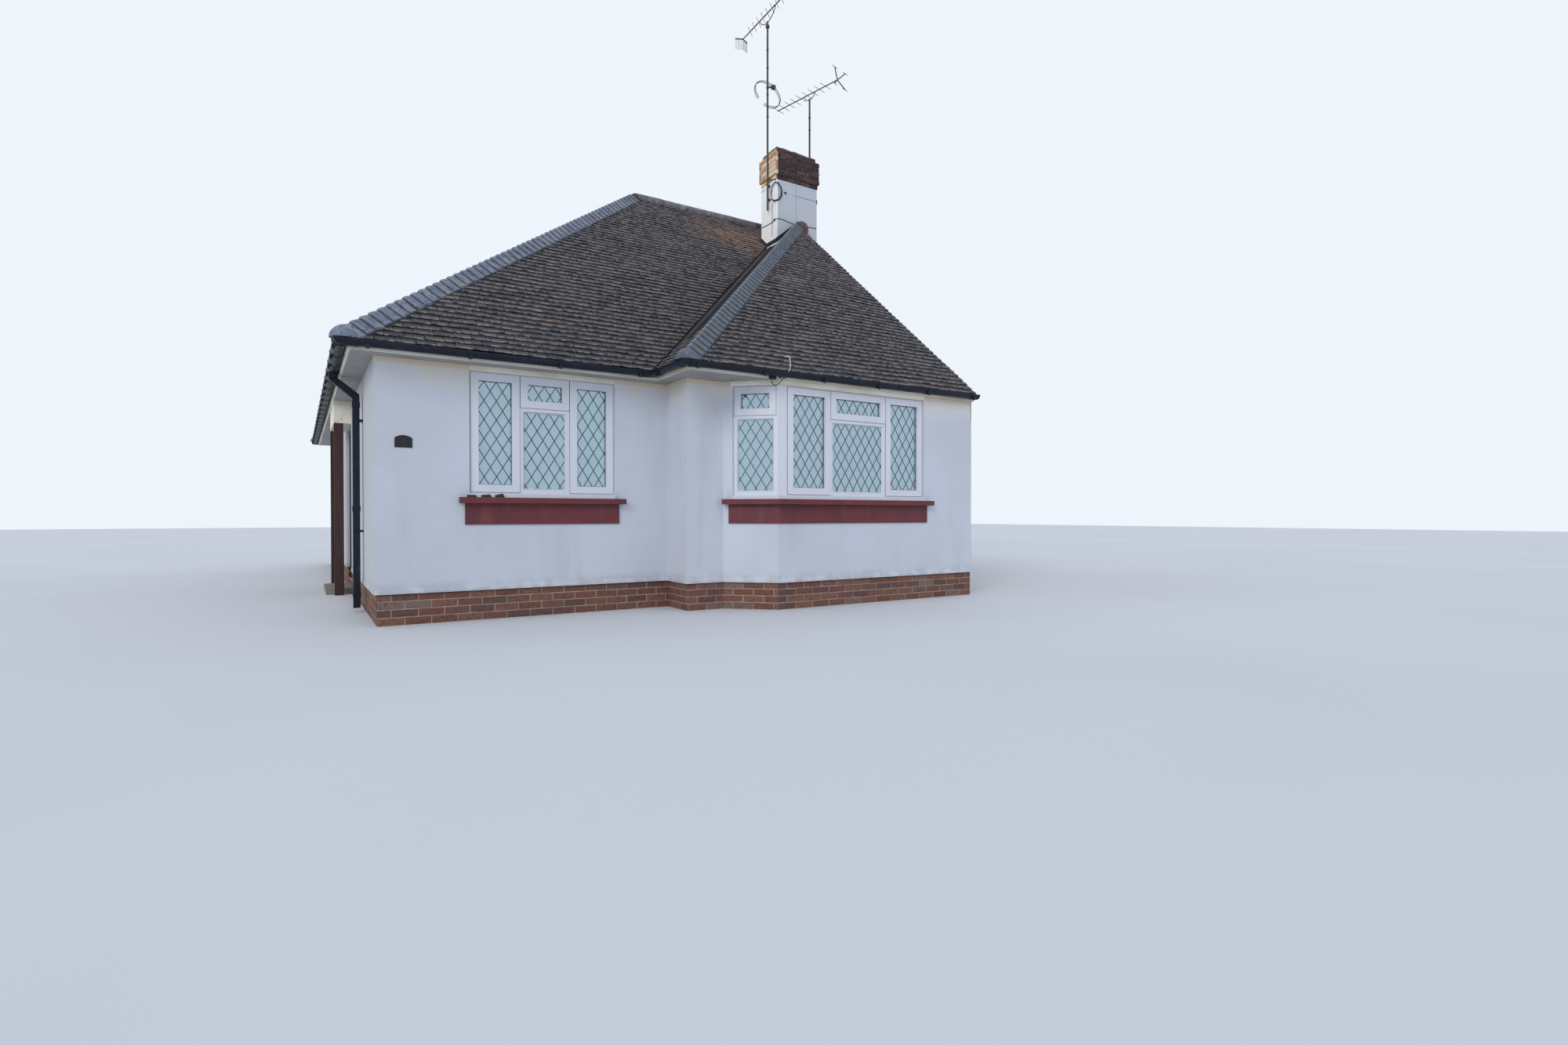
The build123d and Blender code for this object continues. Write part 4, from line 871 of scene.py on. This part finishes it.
ridges = ridge_run("main_ridge", (*main_apex, ridge_height), (party_x, ridge_y, ridge_height), 31)
ridges += ridge_run("kitchen_ridge", (*wing_apex, wing_ridge_height),
                    (wing_ridge_x, wing_edge_y, wing_ridge_height), 32)
keep(join("ridge_tiles_bedded", ridges), "hip_tile", "ridge_tiles")


# %% Valleys and the apex tile
def valley_run(name, foot, top):
    """Narrow lead lining under the cut edges of the tiles, with its tongue in the gutter."""
    tongue, short_of_top, half, depth, thick = 0.09, 0.1, 0.1, 0.03, 0.004
    run = abs(top[0] - foot[0]) - short_of_top
    start = Vector((*foot, edge_height))
    end = start + Vector((math.copysign(run, top[0] - foot[0]),
                          math.copysign(run, top[1] - foot[1]), run * rise))
    fall = rise / math.hypot(rise, math.sqrt(2))
    section = [(-half, half * fall - depth), (0, -depth), (half, half * fall - depth)]
    section += [(y, z - thick) for y, z in reversed(section)]
    length = (end - start).length + tongue
    lining = loft(name, [[(x, y, z) for y, z in section] for x in (0.0, length)], valley_lead)
    lining.data.transform(line_frame(start - (end - start).normalized() * tongue, end))
    return lining


keep(join("valley_linings", [valley_run("bay_valley", bay_foot, bay_top),
                             valley_run("kitchen_valley", wing_foot, wing_joint)]),
     "valley_lead", "valley_troughs")

apex_dome, apex_mesh = bmesh.new(), bpy.data.meshes.new("apex_tile")
bmesh.ops.create_uvsphere(apex_dome, u_segments=20, v_segments=12, radius=1.0)
apex_dome.to_mesh(apex_mesh)
apex_dome.free()
apex_mesh.transform(Matrix.Translation((party_x + 0.055, bay_apex[1] - 0.02, apex_height - 0.085))
                    @ Matrix.Diagonal((0.125, 0.11, 0.14, 1.0)))
apex_mesh.materials.append(terracotta)
keep(shown("apex_tile", apex_mesh), "hip_tile")

# %% [markdown]
# ## Bricks
#
# The plinth is four courses of red bricks in stretcher bond, and the chimney head is seven courses
# of darker ones. The loaded solid is the mortar, and each brick is laid into its face so that it
# stands a few millimetres proud. Walls meet at their mitres, like the slopes.


# %% Brick faces
def moved_out(points, distance):
    """Plan path moved to its right by a distance, mitred at its corners."""
    headings = [(Vector(b) - Vector(a)).normalized() for a, b in zip(points, points[1:])]
    moved = []
    for point, before, after in zip(points, headings[:1] + headings, headings + headings[-1:]):
        right_before, right_after = Vector((before.y, -before.x)), Vector((after.y, -after.x))
        share = distance / (1 + right_before.dot(right_after))
        moved.append(tuple(Vector(point) + (right_before + right_after) * share))
    return moved


def brick_kind(name, length, height, proud, edge, wobble, finish):
    """Brick with eased front edges, along X with its face towards Z, and how such bricks are laid."""
    half_joint, rings = 0.005, []
    for inset, z in ((0.0, -0.03), (0.0, proud - edge), (edge, proud)):
        x0, x1 = half_joint + inset, length - half_joint - inset
        y0, y1 = half_joint + inset, height - half_joint - inset
        rings.append([(x0, y0, z), (x1, y0, z), (x1, y1, z), (x0, y1, z)])
    return hidden(loft(name, rings, finish)), length, height, wobble


def brick_wall(name, path, bottom, courses, kind, seed, first=0.0):
    """Bricks over each stretch of a path that has the outside on its right."""
    unit, length, height, wobble = kind
    made = []
    for index, (start, end) in enumerate(zip(path, path[1:])):
        line = Vector(end) - Vector(start)
        along = line.normalized()
        laid = grow(courses_tree, f"{name}_{index}", unit, width=line.length, rise=courses * height,
                    step=length, gauge=height, wobble=wobble,
                    shift=first + (0.0 if index % 2 else length / 2), seed=seed + index)
        out = (along.y, -along.x, 0)
        laid.data.transform(frame_of((*along, 0), (0, 0, 1), out, (*start, bottom)))
        cuts = [((*start, bottom + courses * height - 0.001), (0, 0, 1)),
                ((*start, bottom), (0, 0, -1))]
        for corner, step in ((index, -1), (index + 1, 1)):
            other = corner + step
            across_wall = along * step
            if 0 <= other < len(path):
                beyond = (Vector(path[other]) - Vector(path[corner])).normalized() * step
                across_wall = (along + beyond).normalized() * step
            cuts.append(((*path[corner], 0.0), (*across_wall, 0.0)))
        made.append(trim(laid, cuts))
    return made


# %% Plinth and render lip
wall_low, wall_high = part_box("front_wall")
left_x, front_y, return_x = wall_low.x, wall_low.y, wall_high.x
bay_side_y, rear_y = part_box("return_wall")[0].y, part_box("rear_wall")[1].y
bay_splay_x, bay_front_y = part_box("bay_splay_wall")[0].xy
bay_turn_x = bay_splay_x + bay_side_y - bay_front_y
wing_x, wing_end_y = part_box("kitchen_end_wall")[1].xy
door_low, door_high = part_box("side_door_frame")
wall_paths = [
    [(left_x, door_low.y), (left_x, front_y), (return_x, front_y), (return_x, bay_side_y),
     (bay_splay_x, bay_side_y), (bay_turn_x, bay_front_y), (party_x, bay_front_y)],
    [(party_x, rear_y), (wing_x, rear_y), (wing_x, wing_end_y), (left_x, wing_end_y),
     (left_x, door_high.y)],
]
plinth_low, plinth_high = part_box("brick_plinth")
plinth_courses, setback = 4, left_x - plinth_low.x
red_kind = brick_kind("red_unit", 0.225, plinth_high.z / plinth_courses, 0.005, 0.004, 0.006, red_brick)
plinth_paths = [moved_out(path, setback) for path in wall_paths]
under_door = [plinth_paths[1][-1], plinth_paths[0][0]]
bricks = []
for name, path, courses, seed in (("plinth_a", plinth_paths[0], plinth_courses, 41),
                                  ("plinth_b", plinth_paths[1], plinth_courses, 51),
                                  ("plinth_c", under_door, 2, 61)):
    bricks += brick_wall(name, path, 0.0, courses, red_kind, seed)
keep(join("plinth_bricks", bricks), "brick")


def lips(name, paths, profile, finish):
    """Moulding that follows wall paths; its profile is (out, height) points."""
    made = []
    for path in paths:
        lines = [[(*point, height) for point in moved_out(path, out)] for out, height in profile]
        made.append(loft(name, list(zip(*lines)), finish))
    return join(name, made)


lip_height = plinth_high.z
lip_profile = [(-0.004, lip_height + 0.06), (0.008, lip_height + 0.014),
               (0.009, lip_height - 0.006), (-0.004, lip_height - 0.006)]
keep(lips("render_lip", wall_paths, lip_profile, masonry_paint), "render")

# %% Chimney bricks
stack_low, stack_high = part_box("chimney_stack")
head_low, head_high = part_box("chimney_head")
dark_length, dark_course = 0.222, 0.075
dark_kind = brick_kind("dark_unit", dark_length, dark_course, 0.007, 0.006, 0.02, chimney_brick)


def round_path(low, high, inset):
    """Closed path round a box in plan, with the outside on its right, and one corner over."""
    x0, x1, y0, y1 = low.x + inset, high.x - inset, low.y + inset, high.y - inset
    return [(x0, y1), (x0, y0), (x1, y0), (x1, y1), (x0, y1)]


head_step = (head_high.x - head_low.x - (stack_high.x - stack_low.x)) / 2
stages = [(0, 1, head_step), (1, 5, 0.0), (6, 1, head_step + 0.0225)]
bricks = []
for number, (below, courses, inset) in enumerate(stages):
    bricks += brick_wall(f"head_{number}", round_path(head_low, head_high, inset),
                         head_low.z + below * dark_course, courses, dark_kind, 71 + 5 * number,
                         dark_length / 2 * (number % 2))
keep(join("chimney_bricks", bricks), "chimney_brick")

# %% Mortar cap of the chimney
cap_columns, cap_rows, cap_bottom = 26, 16, head_low.z + 0.522
cap_inset = head_step + 0.02
cap_x, cap_y = head_low.x + cap_inset, head_low.y + cap_inset
cap_width, cap_depth = head_high.x - cap_inset - cap_x, head_high.y - cap_inset - cap_y
rings = []
for row in range(cap_rows + 1):
    v, top = row / cap_rows, []
    for column in range(cap_columns + 1):
        u = column / cap_columns
        edge = min(u, 1 - u, v * 0.6, (1 - v) * 0.6)
        x, y = cap_x + u * cap_width, cap_y + v * cap_depth
        lump = noise.noise(Vector((x * 9, y * 9, 4.0))) * 0.014 + 0.02 * (1 - u) * (1 - v)
        top.append((x, y, cap_bottom + 0.012 + min(edge * 0.35, 0.03) + max(lump, 0.0)))
    rings.append(top + [(x, y, cap_bottom - 0.02) for x, y, _ in reversed(top)])
keep(loft("chimney_mortar_cap", rings, chimney_mortar), "chimney_brick")

# %% [markdown]
# ## Windows
#
# The leaded look is lead strip stuck on the outside of plain panes. Strips run both ways and start
# from the same points along the top edge, so they cross in diamonds. Each pane is measured from its
# own solid, which gives its width, height and facing.

# %% Measure the panes
indoors = Vector((0.0, 0.8))


def pane_frames(node):
    """Frame, width and height of each pane of a node, with X along it and Z out of the house."""
    shape = bmesh.new()
    shape.from_mesh(nodes[node].data)
    bmesh.ops.remove_doubles(shape, verts=shape.verts, dist=1e-5)
    left, found = set(shape.verts), []
    while left:
        island, queue = set(), [next(iter(left))]
        while queue:
            vertex = queue.pop()
            if vertex not in island:
                island.add(vertex)
                queue += [edge.other_vert(vertex) for edge in vertex.link_edges]
        left -= island
        faces = {face for vertex in island for face in vertex.link_faces}
        normal = max(faces, key=lambda face: face.calc_area()).normal.copy()
        points = [nodes[node].matrix_world @ vertex.co for vertex in island]
        centre = sum(points, Vector()) / len(points)
        if normal.xy.dot(centre.xy - indoors) < 0:
            normal = -normal
        along = Vector((0, 0, 1)).cross(normal)
        ends = [(point - centre).dot(along) for point in points]
        depth = max((point - centre).dot(normal) for point in points)
        low, high = min(p.z for p in points), max(p.z for p in points)
        place = frame_of(along, (0, 0, 1), normal, centre + along * min(ends) + normal * depth)
        place.translation.z = low
        found.append((place, max(ends) - min(ends), high - low))
    shape.free()
    return sorted(found, key=lambda pane: tuple(pane[0].translation))


front_panes, rear_panes = pane_frames("front_glass"), pane_frames("rear_glass")
print(len(front_panes), "front panes,", len(rear_panes), "other panes")

# %% Lead strips
diamond_width, diamond_height, strip_width, strip_length = 0.115, 0.185, 0.007, 1.35
slant = math.atan(diamond_width / diamond_height)


def strip_unit(name, lean):
    """Lead strip that hangs from the origin and leans by an angle."""
    way = Vector((math.sin(lean), -math.cos(lean)))
    side = Vector((way.y, -way.x)) * strip_width / 2
    start, end = way * -0.02, way * strip_length
    corners = (start + side, start - side, end - side, end + side)
    return hidden(loft(name, [[(*corner, z) for corner in corners] for z in (-0.001, 0.0025)],
                       came_lead))


right_unit, left_unit = strip_unit("right_strip", slant), strip_unit("left_strip", -slant)


def lattice(name, panes, first_nodes):
    """Lead strips over each pane, cut at its edges; some panes start their pattern off centre."""
    made = []
    for number, (place, width, height) in enumerate(panes):
        nodes_across = round(width / diamond_width)
        phase = first_nodes.get(number, (width - (nodes_across - 1) * diamond_width) / 2)
        back = math.ceil(height * math.tan(slant) / diamond_width) * diamond_width
        for unit, start in ((right_unit, phase - back), (left_unit, phase)):
            strips = grow(row_tree, f"{name}_{number}", unit, length=width + back,
                          step=diamond_width, wobble=0.0005, seed=number)
            strips.data.transform(Matrix.Translation((start, height, 0)))
            trim(strips, [((0, 0, 0), (-1, 0, 0)), ((width, 0, 0), (1, 0, 0)),
                          ((0, 0, 0), (0, -1, 0)), ((0, height, 0), (0, 1, 0))])
            strips.data.transform(place)
            made.append(strips)
    return join(name, made)


off_centre = {0: 0.057, 1: 0.027, 3: 0.010, 6: 0.058}
keep(lattice("front_lattice", front_panes, off_centre), "grey_metal")
keep(lattice("rear_lattice", rear_panes, {}), "grey_metal")

# %% Beads, gaskets, and grey sash seal rings that also paint the shadow line round each sash
glass_to_face = 0.023


def ring_strip(name, pane, inner, outer, low, high, inner_high, finish):
    """Rectangular ring round a pane; it can slope from its outer height to its inner one."""
    place, width, height = pane
    rings = []
    for out, z in ((outer, low), (outer, high), (inner, inner_high), (inner, low)):
        x1, y1 = width + out, height + out
        rings.append([(-out, -out, z), (x1, -out, z), (x1, y1, z), (-out, y1, z)])
    strip = loft(name, rings, finish, closed=True)
    strip.data.transform(place)
    return strip


for name, panes in (("front", front_panes), ("rear", rear_panes)):
    seals_and_shadow_lines, beads = [], []
    for pane in panes:
        seals_and_shadow_lines.append(ring_strip("seal", pane, -0.004, 0.001, -0.001, 0.003, 0.003, black_rubber))
        if 0.6 < pane[2] < 0.9:  # a fixed pane, known by its height
            beads.append(ring_strip("bead", pane, -0.012, 0.001, -0.001, glass_to_face + 0.002,
                                    0.006, window_plastic))
        else:
            # Grey seal ring round the sash: partly a real seal, partly the painted shadow line between sash
            # and frame.
            seals_and_shadow_lines.append(ring_strip("sash_seal", pane, 0.0715, 0.0745, glass_to_face - 0.002,
                                    glass_to_face + 0.004, glass_to_face + 0.004, grey_seal_shadow_line))
    keep(join(name + "_seals", seals_and_shadow_lines), "black_plastic")
    keep(join(name + "_beads", beads), "white_plastic")

# %% Trim over the front windows, and a damp course strip that also paints the shadow under the render lip
soffit_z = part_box("soffit")[0].z
frame_low, frame_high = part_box("front_window_frame")
bay_low, bay_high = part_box("bay_window_frame")
head_z = frame_high.z
head_paths = [
    [(frame_low.x, front_y), (frame_high.x, front_y)],
    [(bay_low.x, bay_side_y - (bay_low.x - bay_splay_x)), (bay_turn_x, bay_front_y),
     (bay_high.x, bay_front_y)],
]
trim_profile = [(-0.02, head_z + 0.001), (0.004, head_z + 0.001), (0.010, head_z + 0.012),
                (0.010, soffit_z), (-0.02, soffit_z)]
keep(lips("head_trims", head_paths, trim_profile, eaves_board), "painted_board")
# Dark damp course under the render lip, which also stands in for the shadow there.
damp_shadow_profile = [(-0.03, lip_height - 0.012), (-0.004, lip_height - 0.010),
                (-0.002, lip_height - 0.003), (-0.03, lip_height - 0.002)]
keep(lips("damp_course", wall_paths, damp_shadow_profile, roof_felt), "black_plastic")

# %% [markdown]
# ## Gutter fittings
#
# Half-round gutter hangs in brackets, and its lengths meet in sockets at the corners. All are the
# same swept profile, longer or shorter. Each bracket has a stub under the gutter and a small horn.

# %% Brackets and sockets
gutter_radius, gutter_z = 0.056, gutter_high.z
gutter_left, gutter_front = gutter_low.x + gutter_radius, gutter_low.y + gutter_radius
hang = tile_left - gutter_left
gutter_path = [
    (party_x, gutter_front), (bay_left - hang, gutter_front), (bay_left - hang, tile_front - hang),
    (gutter_left, tile_front - hang), (gutter_left, wing_rear + hang),
    (wing_right + hang, wing_rear + hang), (wing_right + hang, tile_rear + hang),
    (party_x, tile_rear + hang),
]


def box_piece(name, low, high, finish):
    """Plain box between two corners."""
    (x0, y0, z0), (x1, y1, z1) = low, high
    return loft(name, [[(x0, y0, z), (x1, y0, z), (x1, y1, z), (x0, y1, z)] for z in (z0, z1)], finish)


def half_round(half_length, thickness):
    """Profile of a piece that wraps the outside of the gutter."""
    inner, outer = gutter_radius + 0.0003, gutter_radius + thickness
    return [(-half_length, inner), (-half_length, outer), (half_length, outer), (half_length, inner)]


bracket_unit = hidden(join("bracket_unit", [
    swept("strap", half_round(0.011, 0.005), 84, 276, 12, gutter_plastic),
    box_piece("stub", (-0.015, -0.058, -0.075), (0.015, -0.036, -0.035), gutter_plastic),
    box_piece("horn", (-0.009, 0.052, -0.004), (0.009, 0.064, 0.012), gutter_plastic),
]))
socket_unit = hidden(swept("socket", half_round(0.045, 0.007), 86, 274, 12, gutter_plastic))
fittings = []
# The path runs clockwise seen from above, with the house on its right.
# Each row has its first bracket and the step to the next.
gutter_rows = [(0.12, 0.76), (0.2, 0.76), (0.2, 0.826), (0.3, 0.52)] + 3 * [(0.3, 0.9)]
end_room, socket_back = 0.06, 0.09
for index, (start, end, (first, step)) in enumerate(zip(gutter_path, gutter_path[1:], gutter_rows)):
    length = (Vector(end) - Vector(start)).length
    place = line_frame((*end, gutter_z), (*start, gutter_z))
    brackets = grow(row_tree, f"brackets_{index}", bracket_unit, length=length - first - end_room,
                    step=step, wobble=0.01, seed=80 + index)
    brackets.data.transform(place @ Matrix.Translation((first, 0, 0)))
    fittings.append(brackets)
    corners = [socket_back] if index < len(gutter_rows) - 1 else []
    for at in corners + ([length - socket_back] if index else []):
        socket = shown("socket", socket_unit.data.copy())
        socket.data.transform(place @ Matrix.Translation((at, 0, 0)))
        fittings.append(socket)
pipe_low, pipe_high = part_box("downpipe")
pipe = Vector((left_x - 0.0625, (pipe_low.y + pipe_high.y) / 2, 0))
collar_half, collar_height = 0.037, 0.055
for z in (2.13, 1.05, 0.16):
    fittings.append(box_piece(
        "collar", pipe + Vector((-collar_half, -collar_half, z)),
        pipe + Vector((collar_half, collar_half, z + collar_height)), gutter_plastic))
fittings.append(box_piece("outlet", (gutter_left - 0.04, pipe.y - 0.06, gutter_z - 0.1),
                          (gutter_left + 0.04, pipe.y + 0.06, gutter_z - 0.05), gutter_plastic))
keep(join("gutter_fittings", fittings), "black_plastic")

# %% [markdown]
# ## Cables, wires and flashing
#
# Everything held to the chimney is a thin round line: the lashing wires of the mast, a coil of spare
# cable and the lead down to the roof. One helper turns a list of points into a closed round mesh.
# Strips of lead flashing are dressed up the stack where the slopes meet it.


# %% Cables on the chimney
def cable(name, points, radius, finish, closed=False):
    """Smooth round cable through a list of points."""
    curve = bpy.data.curves.new(name, "CURVE")
    curve.dimensions = "3D"
    curve.bevel_depth = radius
    curve.bevel_resolution = 1
    curve.use_fill_caps = True
    curve.resolution_u = 5
    spline = curve.splines.new("NURBS")
    spline.points.add(len(points) - 1)
    for point, place in zip(spline.points, points):
        point.co = (*place, 1.0)
    spline.order_u = 3
    spline.use_endpoint_u = not closed
    spline.use_cyclic_u = closed
    host = shown(name, curve)
    graph = bpy.context.evaluated_depsgraph_get()
    mesh = bpy.data.meshes.new_from_object(host.evaluated_get(graph), depsgraph=graph)
    bpy.data.objects.remove(host)
    mesh.materials.clear()
    mesh.materials.append(finish)
    return shown(name, mesh)


stack_x, stack_y = stack_low.xy


def beside(off, *places):
    """Points off the stack by its near corner: their run is along the front, or the left if negative."""
    return [(stack_x + run, stack_y - off, height) if run >= 0
            else (stack_x - off, stack_y - run, height) for run, height in places]


coil_height, wire_height, coil_points, held = head_low.z - 0.21, head_low.z - 0.203, 20, []
for strand in range(4):
    reach_x, reach_z, turns = 0.1265 - 0.007 * strand, 0.162 - 0.005 * strand, []
    for index in range(coil_points):
        turn = 2 * math.pi * index / coil_points
        turns.append((-0.0125 - 0.003 * strand + reach_x * math.cos(turn),
                      coil_height + reach_z * math.sin(turn)))
    held.append(cable(f"coil_{strand}", beside(0.012 + 0.005 * strand, *turns), 0.0036, black_rubber,
                      closed=True))
lead_points = (
    beside(0.006, (-0.456, 5.962), (-0.25, 5.95)) + beside(0.007, (-0.1, 5.953), (-0.03, 5.967))
    + [(stack_x - 0.007, stack_y - 0.007, 5.972)] + beside(0.007, (0.05, 5.988), (0.12, 5.988))
    + beside(0.006, (0.27, 5.962), (0.4, 5.953), (0.64, 5.966), (0.82, 5.975)))
for name, points, radius, finish in (
    ("thin_lead", beside(0.006, (-0.116, coil_height - 0.15), (-0.117, coil_height - 0.4),
                         (-0.117, 5.72)), 0.0035, black_rubber),
    ("long_lead", lead_points, 0.0048, black_rubber),
    ("upper_bar", [(2.757, -1.01, 6.625), (2.8185, -1.064, 6.625), (2.88, -1.118, 6.625)],
     0.009, terracotta),
    ("lower_bar", [(2.745, -1.05, 6.285), (2.8135, -1.0835, 6.2805), (2.882, -1.117, 6.276)],
     0.009, terracotta),
    ("lashing_wire", beside(0.004, (-0.2, wire_height + 0.05), (-0.05, wire_height + 0.01),
                            (0.1, wire_height), (0.83, wire_height)), 0.002, aerial_alloy),
    ("upper_wire", beside(0.004, (-0.475, head_low.z - 0.06), (-0.2, head_low.z - 0.055),
                          (0.06, head_low.z - 0.05)), 0.003, aerial_alloy),
):
    held.append(cable(name, points, radius, finish))
held += [
    box_piece("wire_plate", (stack_high.x - 0.006, stack_y - 0.008, wire_height - 0.045),
              (stack_high.x + 0.004, stack_y + 0.03, wire_height + 0.03), gutter_plastic),
    box_piece("wire_knob", (stack_x + 0.165, stack_y - 0.022, wire_height - 0.012),
              (stack_x + 0.192, stack_y, wire_height + 0.014), black_rubber),
    box_piece("lead_clip", (stack_x - 0.016, stack_y + 0.035, 5.952),
              (stack_x, stack_y + 0.062, 5.986), black_rubber),
]
keep(join("chimney_cables", held), "black_plastic")

# %% Mast fittings
mast_low, mast_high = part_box("aerial_masts")
mast_radius, band_inner, tie_radius, tie_width = 0.016, 0.0165, 0.0205, 0.016
tall_x, tall_y, mast_top = mast_low.x + mast_radius, stack_y + 0.2, mast_high.z


def band_round(name, place, width, outer, steps, finish):
    """Band of a width round a mast, from a place upwards."""
    profile = [(0.0, band_inner), (0.0, outer), (width, outer), (width, band_inner)]
    band = swept(name, profile, 0, 359.9, steps, finish)
    band.data.transform(line_frame(place, Vector(place) + Vector((0, 0, width)), (0, 1, 0)))
    return band


fittings = []
for name, x, y, low, high, tie_heights in (
    ("tall", tall_x, tall_y, head_high.z + 0.12, mast_top - 0.2, (7.746, 8.119, 8.57, 8.869)),
    ("short", mast_high.x - mast_radius, stack_y + 0.28, head_high.z + 0.1, 8.1, (7.807, 8.023)),
):
    for z in tie_heights:
        fittings.append(band_round("tie", (x, y, z - tie_width / 2), tie_width, tie_radius, 10,
                                   gutter_plastic))
    lead = [(x - 0.013, y - 0.015, high), (x - 0.014, y - 0.014, low + 0.5),
            (x - 0.013, y - 0.015, low - 0.2)]
    fittings.append(cable(name + "_lead", lead, 0.0035, black_rubber))
fittings.append(band_round("clamp", (tall_x, tall_y, mast_top - 0.05), 0.04, 0.034, 8, terracotta))
keep(join("mast_fittings", fittings), "grey_metal")


# %% Flashing
def flashing(name, points, outward):
    """Strip of lead dressed up a wall, along a line of points."""
    near, far = Vector(outward) * 0.0005, Vector(outward) * 0.006
    up, down = Vector((0, 0, 0.05)), Vector((0, 0, -0.02))
    rings = [[point + near, point + far + down, point + far + up, point + near + up]
             for point in map(Vector, points)]
    return loft(name, rings, valley_lead)


def bay_slope_z(x):
    """Height of the bay's left slope, and of its mirror image past the party line."""
    return edge_height + (party_x - abs(x - party_x) - bay_left) * rise


strips = [
    flashing("front_flashing", [(stack_x - 0.01, stack_y, bay_slope_z(stack_x)),
                                (party_x - 0.05, stack_y, bay_slope_z(party_x - 0.05))], (0, -1, 0)),
    flashing("left_flashing", [(stack_x, stack_y - 0.006, bay_slope_z(stack_x)),
                               (stack_x, tile_front + stack_x - bay_left, bay_slope_z(stack_x)),
                               (stack_x, stack_high.y, edge_height + (stack_high.y - tile_front) * rise)],
             (-1, 0, 0)),
]
keep(join("stack_flashing", strips), "valley_lead")

# %% Cable box on the bay
box_y = bay_front + 0.05
cable_parts = [
    box_piece("black_box", (0.263, box_y - 0.03, 2.43), (0.335, box_y, 2.525), gutter_plastic),
    box_piece("white_clip", (0.355, box_y - 0.012, 2.44), (0.372, box_y, 2.51), window_plastic),
    box_piece("grey_bracket", (0.372, box_y - 0.02, 2.455), (0.46, box_y, 2.475), aerial_alloy),
    cable("box_loop", [(0.285, box_y - 0.012, 2.435), (0.29, box_y - 0.02, 2.375),
                       (0.335, box_y - 0.02, 2.362), (0.4, box_y - 0.016, 2.41),
                       (0.44, box_y - 0.02, 2.47), (0.45, bay_front - 0.115, 2.53),
                       (0.452, bay_front - 0.1, 2.62), (0.44, bay_front - 0.03, 2.66),
                       (0.41, bay_front + 0.04, 2.66)], 0.0042, black_rubber),
    cable("light_lead", [(0.405, box_y - 0.016, 2.44), (0.43, box_y - 0.02, 2.475),
                         (0.438, bay_front - 0.09, 2.515), (0.447, bay_front - 0.08, 2.6),
                         (0.445, bay_front - 0.07, 2.66), (0.43, bay_front - 0.05, 2.672),
                         (0.405, bay_front - 0.03, 2.665)], 0.0045, window_plastic),
]
keep(join("bay_cable_box", cable_parts), "black_plastic")

# %% Scraps on the sill
scraps, z0 = [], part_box("front_sill")[1].z
y0, y1 = front_y - 0.07, front_y - 0.02
for x0, x1, lean in ((-2.535, -2.44, 0.004), (-2.405, -2.31, 0.012), (-2.28, -2.19, 0.02)):
    foot = [(x0, y0, z0), (x1, y0, z0), (x1 - 0.005, y1, z0), (x0 + 0.01, y1, z0)]
    head = [(x0 + 0.02, y0 + 0.004, z0 + 0.018), (x1 - 0.02, y0 + 0.004, z0 + 0.02),
            (x1 - 0.006, y1, z0 + 0.02 + lean), (x0 + 0.012, y1, z0 + 0.024)]
    scraps.append(loft("scrap", [foot, head], black_rubber))
keep(join("sill_scraps", scraps), "dark_plate")

# %% [markdown]
# ## Light and floor
#
# A pale world lights the house evenly from all round, and one broad, soft lamp from the left gives
# the faces their shape. The floor is plain and pale, and is marked as stage.

# %% Light and floor
world = bpy.data.worlds.new("pale_world")
scene.world = world
world.use_nodes = True
tree = world.node_tree
shade = tree.nodes["Background"]
shade.inputs["Color"].default_value = (0.80, 0.88, 1.0, 1.0)
shade.inputs["Strength"].default_value = 0.86
sky = add_node(tree, "ShaderNodeBackground", {"Color": (0.86, 0.91, 0.97, 1.0), "Strength": 1.0})
rays = add_node(tree, "ShaderNodeLightPath").outputs
seen = math_node(tree, "MAXIMUM", rays["Is Camera Ray"], rays["Is Glossy Ray"])
seen = math_node(tree, "MAXIMUM", seen, rays["Is Transmission Ray"])
mixed = add_node(tree, "ShaderNodeMixShader", {0: seen, 1: shade.outputs[0], 2: sky.outputs[0]})
tree.links.new(mixed.outputs[0], tree.nodes["World Output"].inputs["Surface"])

lamp = shown("left_lamp", bpy.data.lights.new("left_lamp", "SUN"))
lamp.data.energy = 0.95
lamp.data.angle = math.radians(25)
lamp.data.color = (1.0, 0.95, 0.88)
lamp.rotation_euler = Vector((1.0, 0.72, -0.62)).to_track_quat("-Z", "Y").to_euler()

floor_reach = 60.0
floor_paint = mix("floor_paint", (214, 216, 220), (0.9, 0.0, 0.2),
                  [((0.2,), (208, 210, 214), 0.5)], [])
floor = box_piece("floor", (-floor_reach, -floor_reach, -0.05), (floor_reach, floor_reach, 0), floor_paint)
floor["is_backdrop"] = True
print("lamp", lamp.data.energy, "floor reaches", floor_reach, "m each way")

# %% Sizes and finish
low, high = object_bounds()
print("visual size", [round(size, 3) for size in high - low])
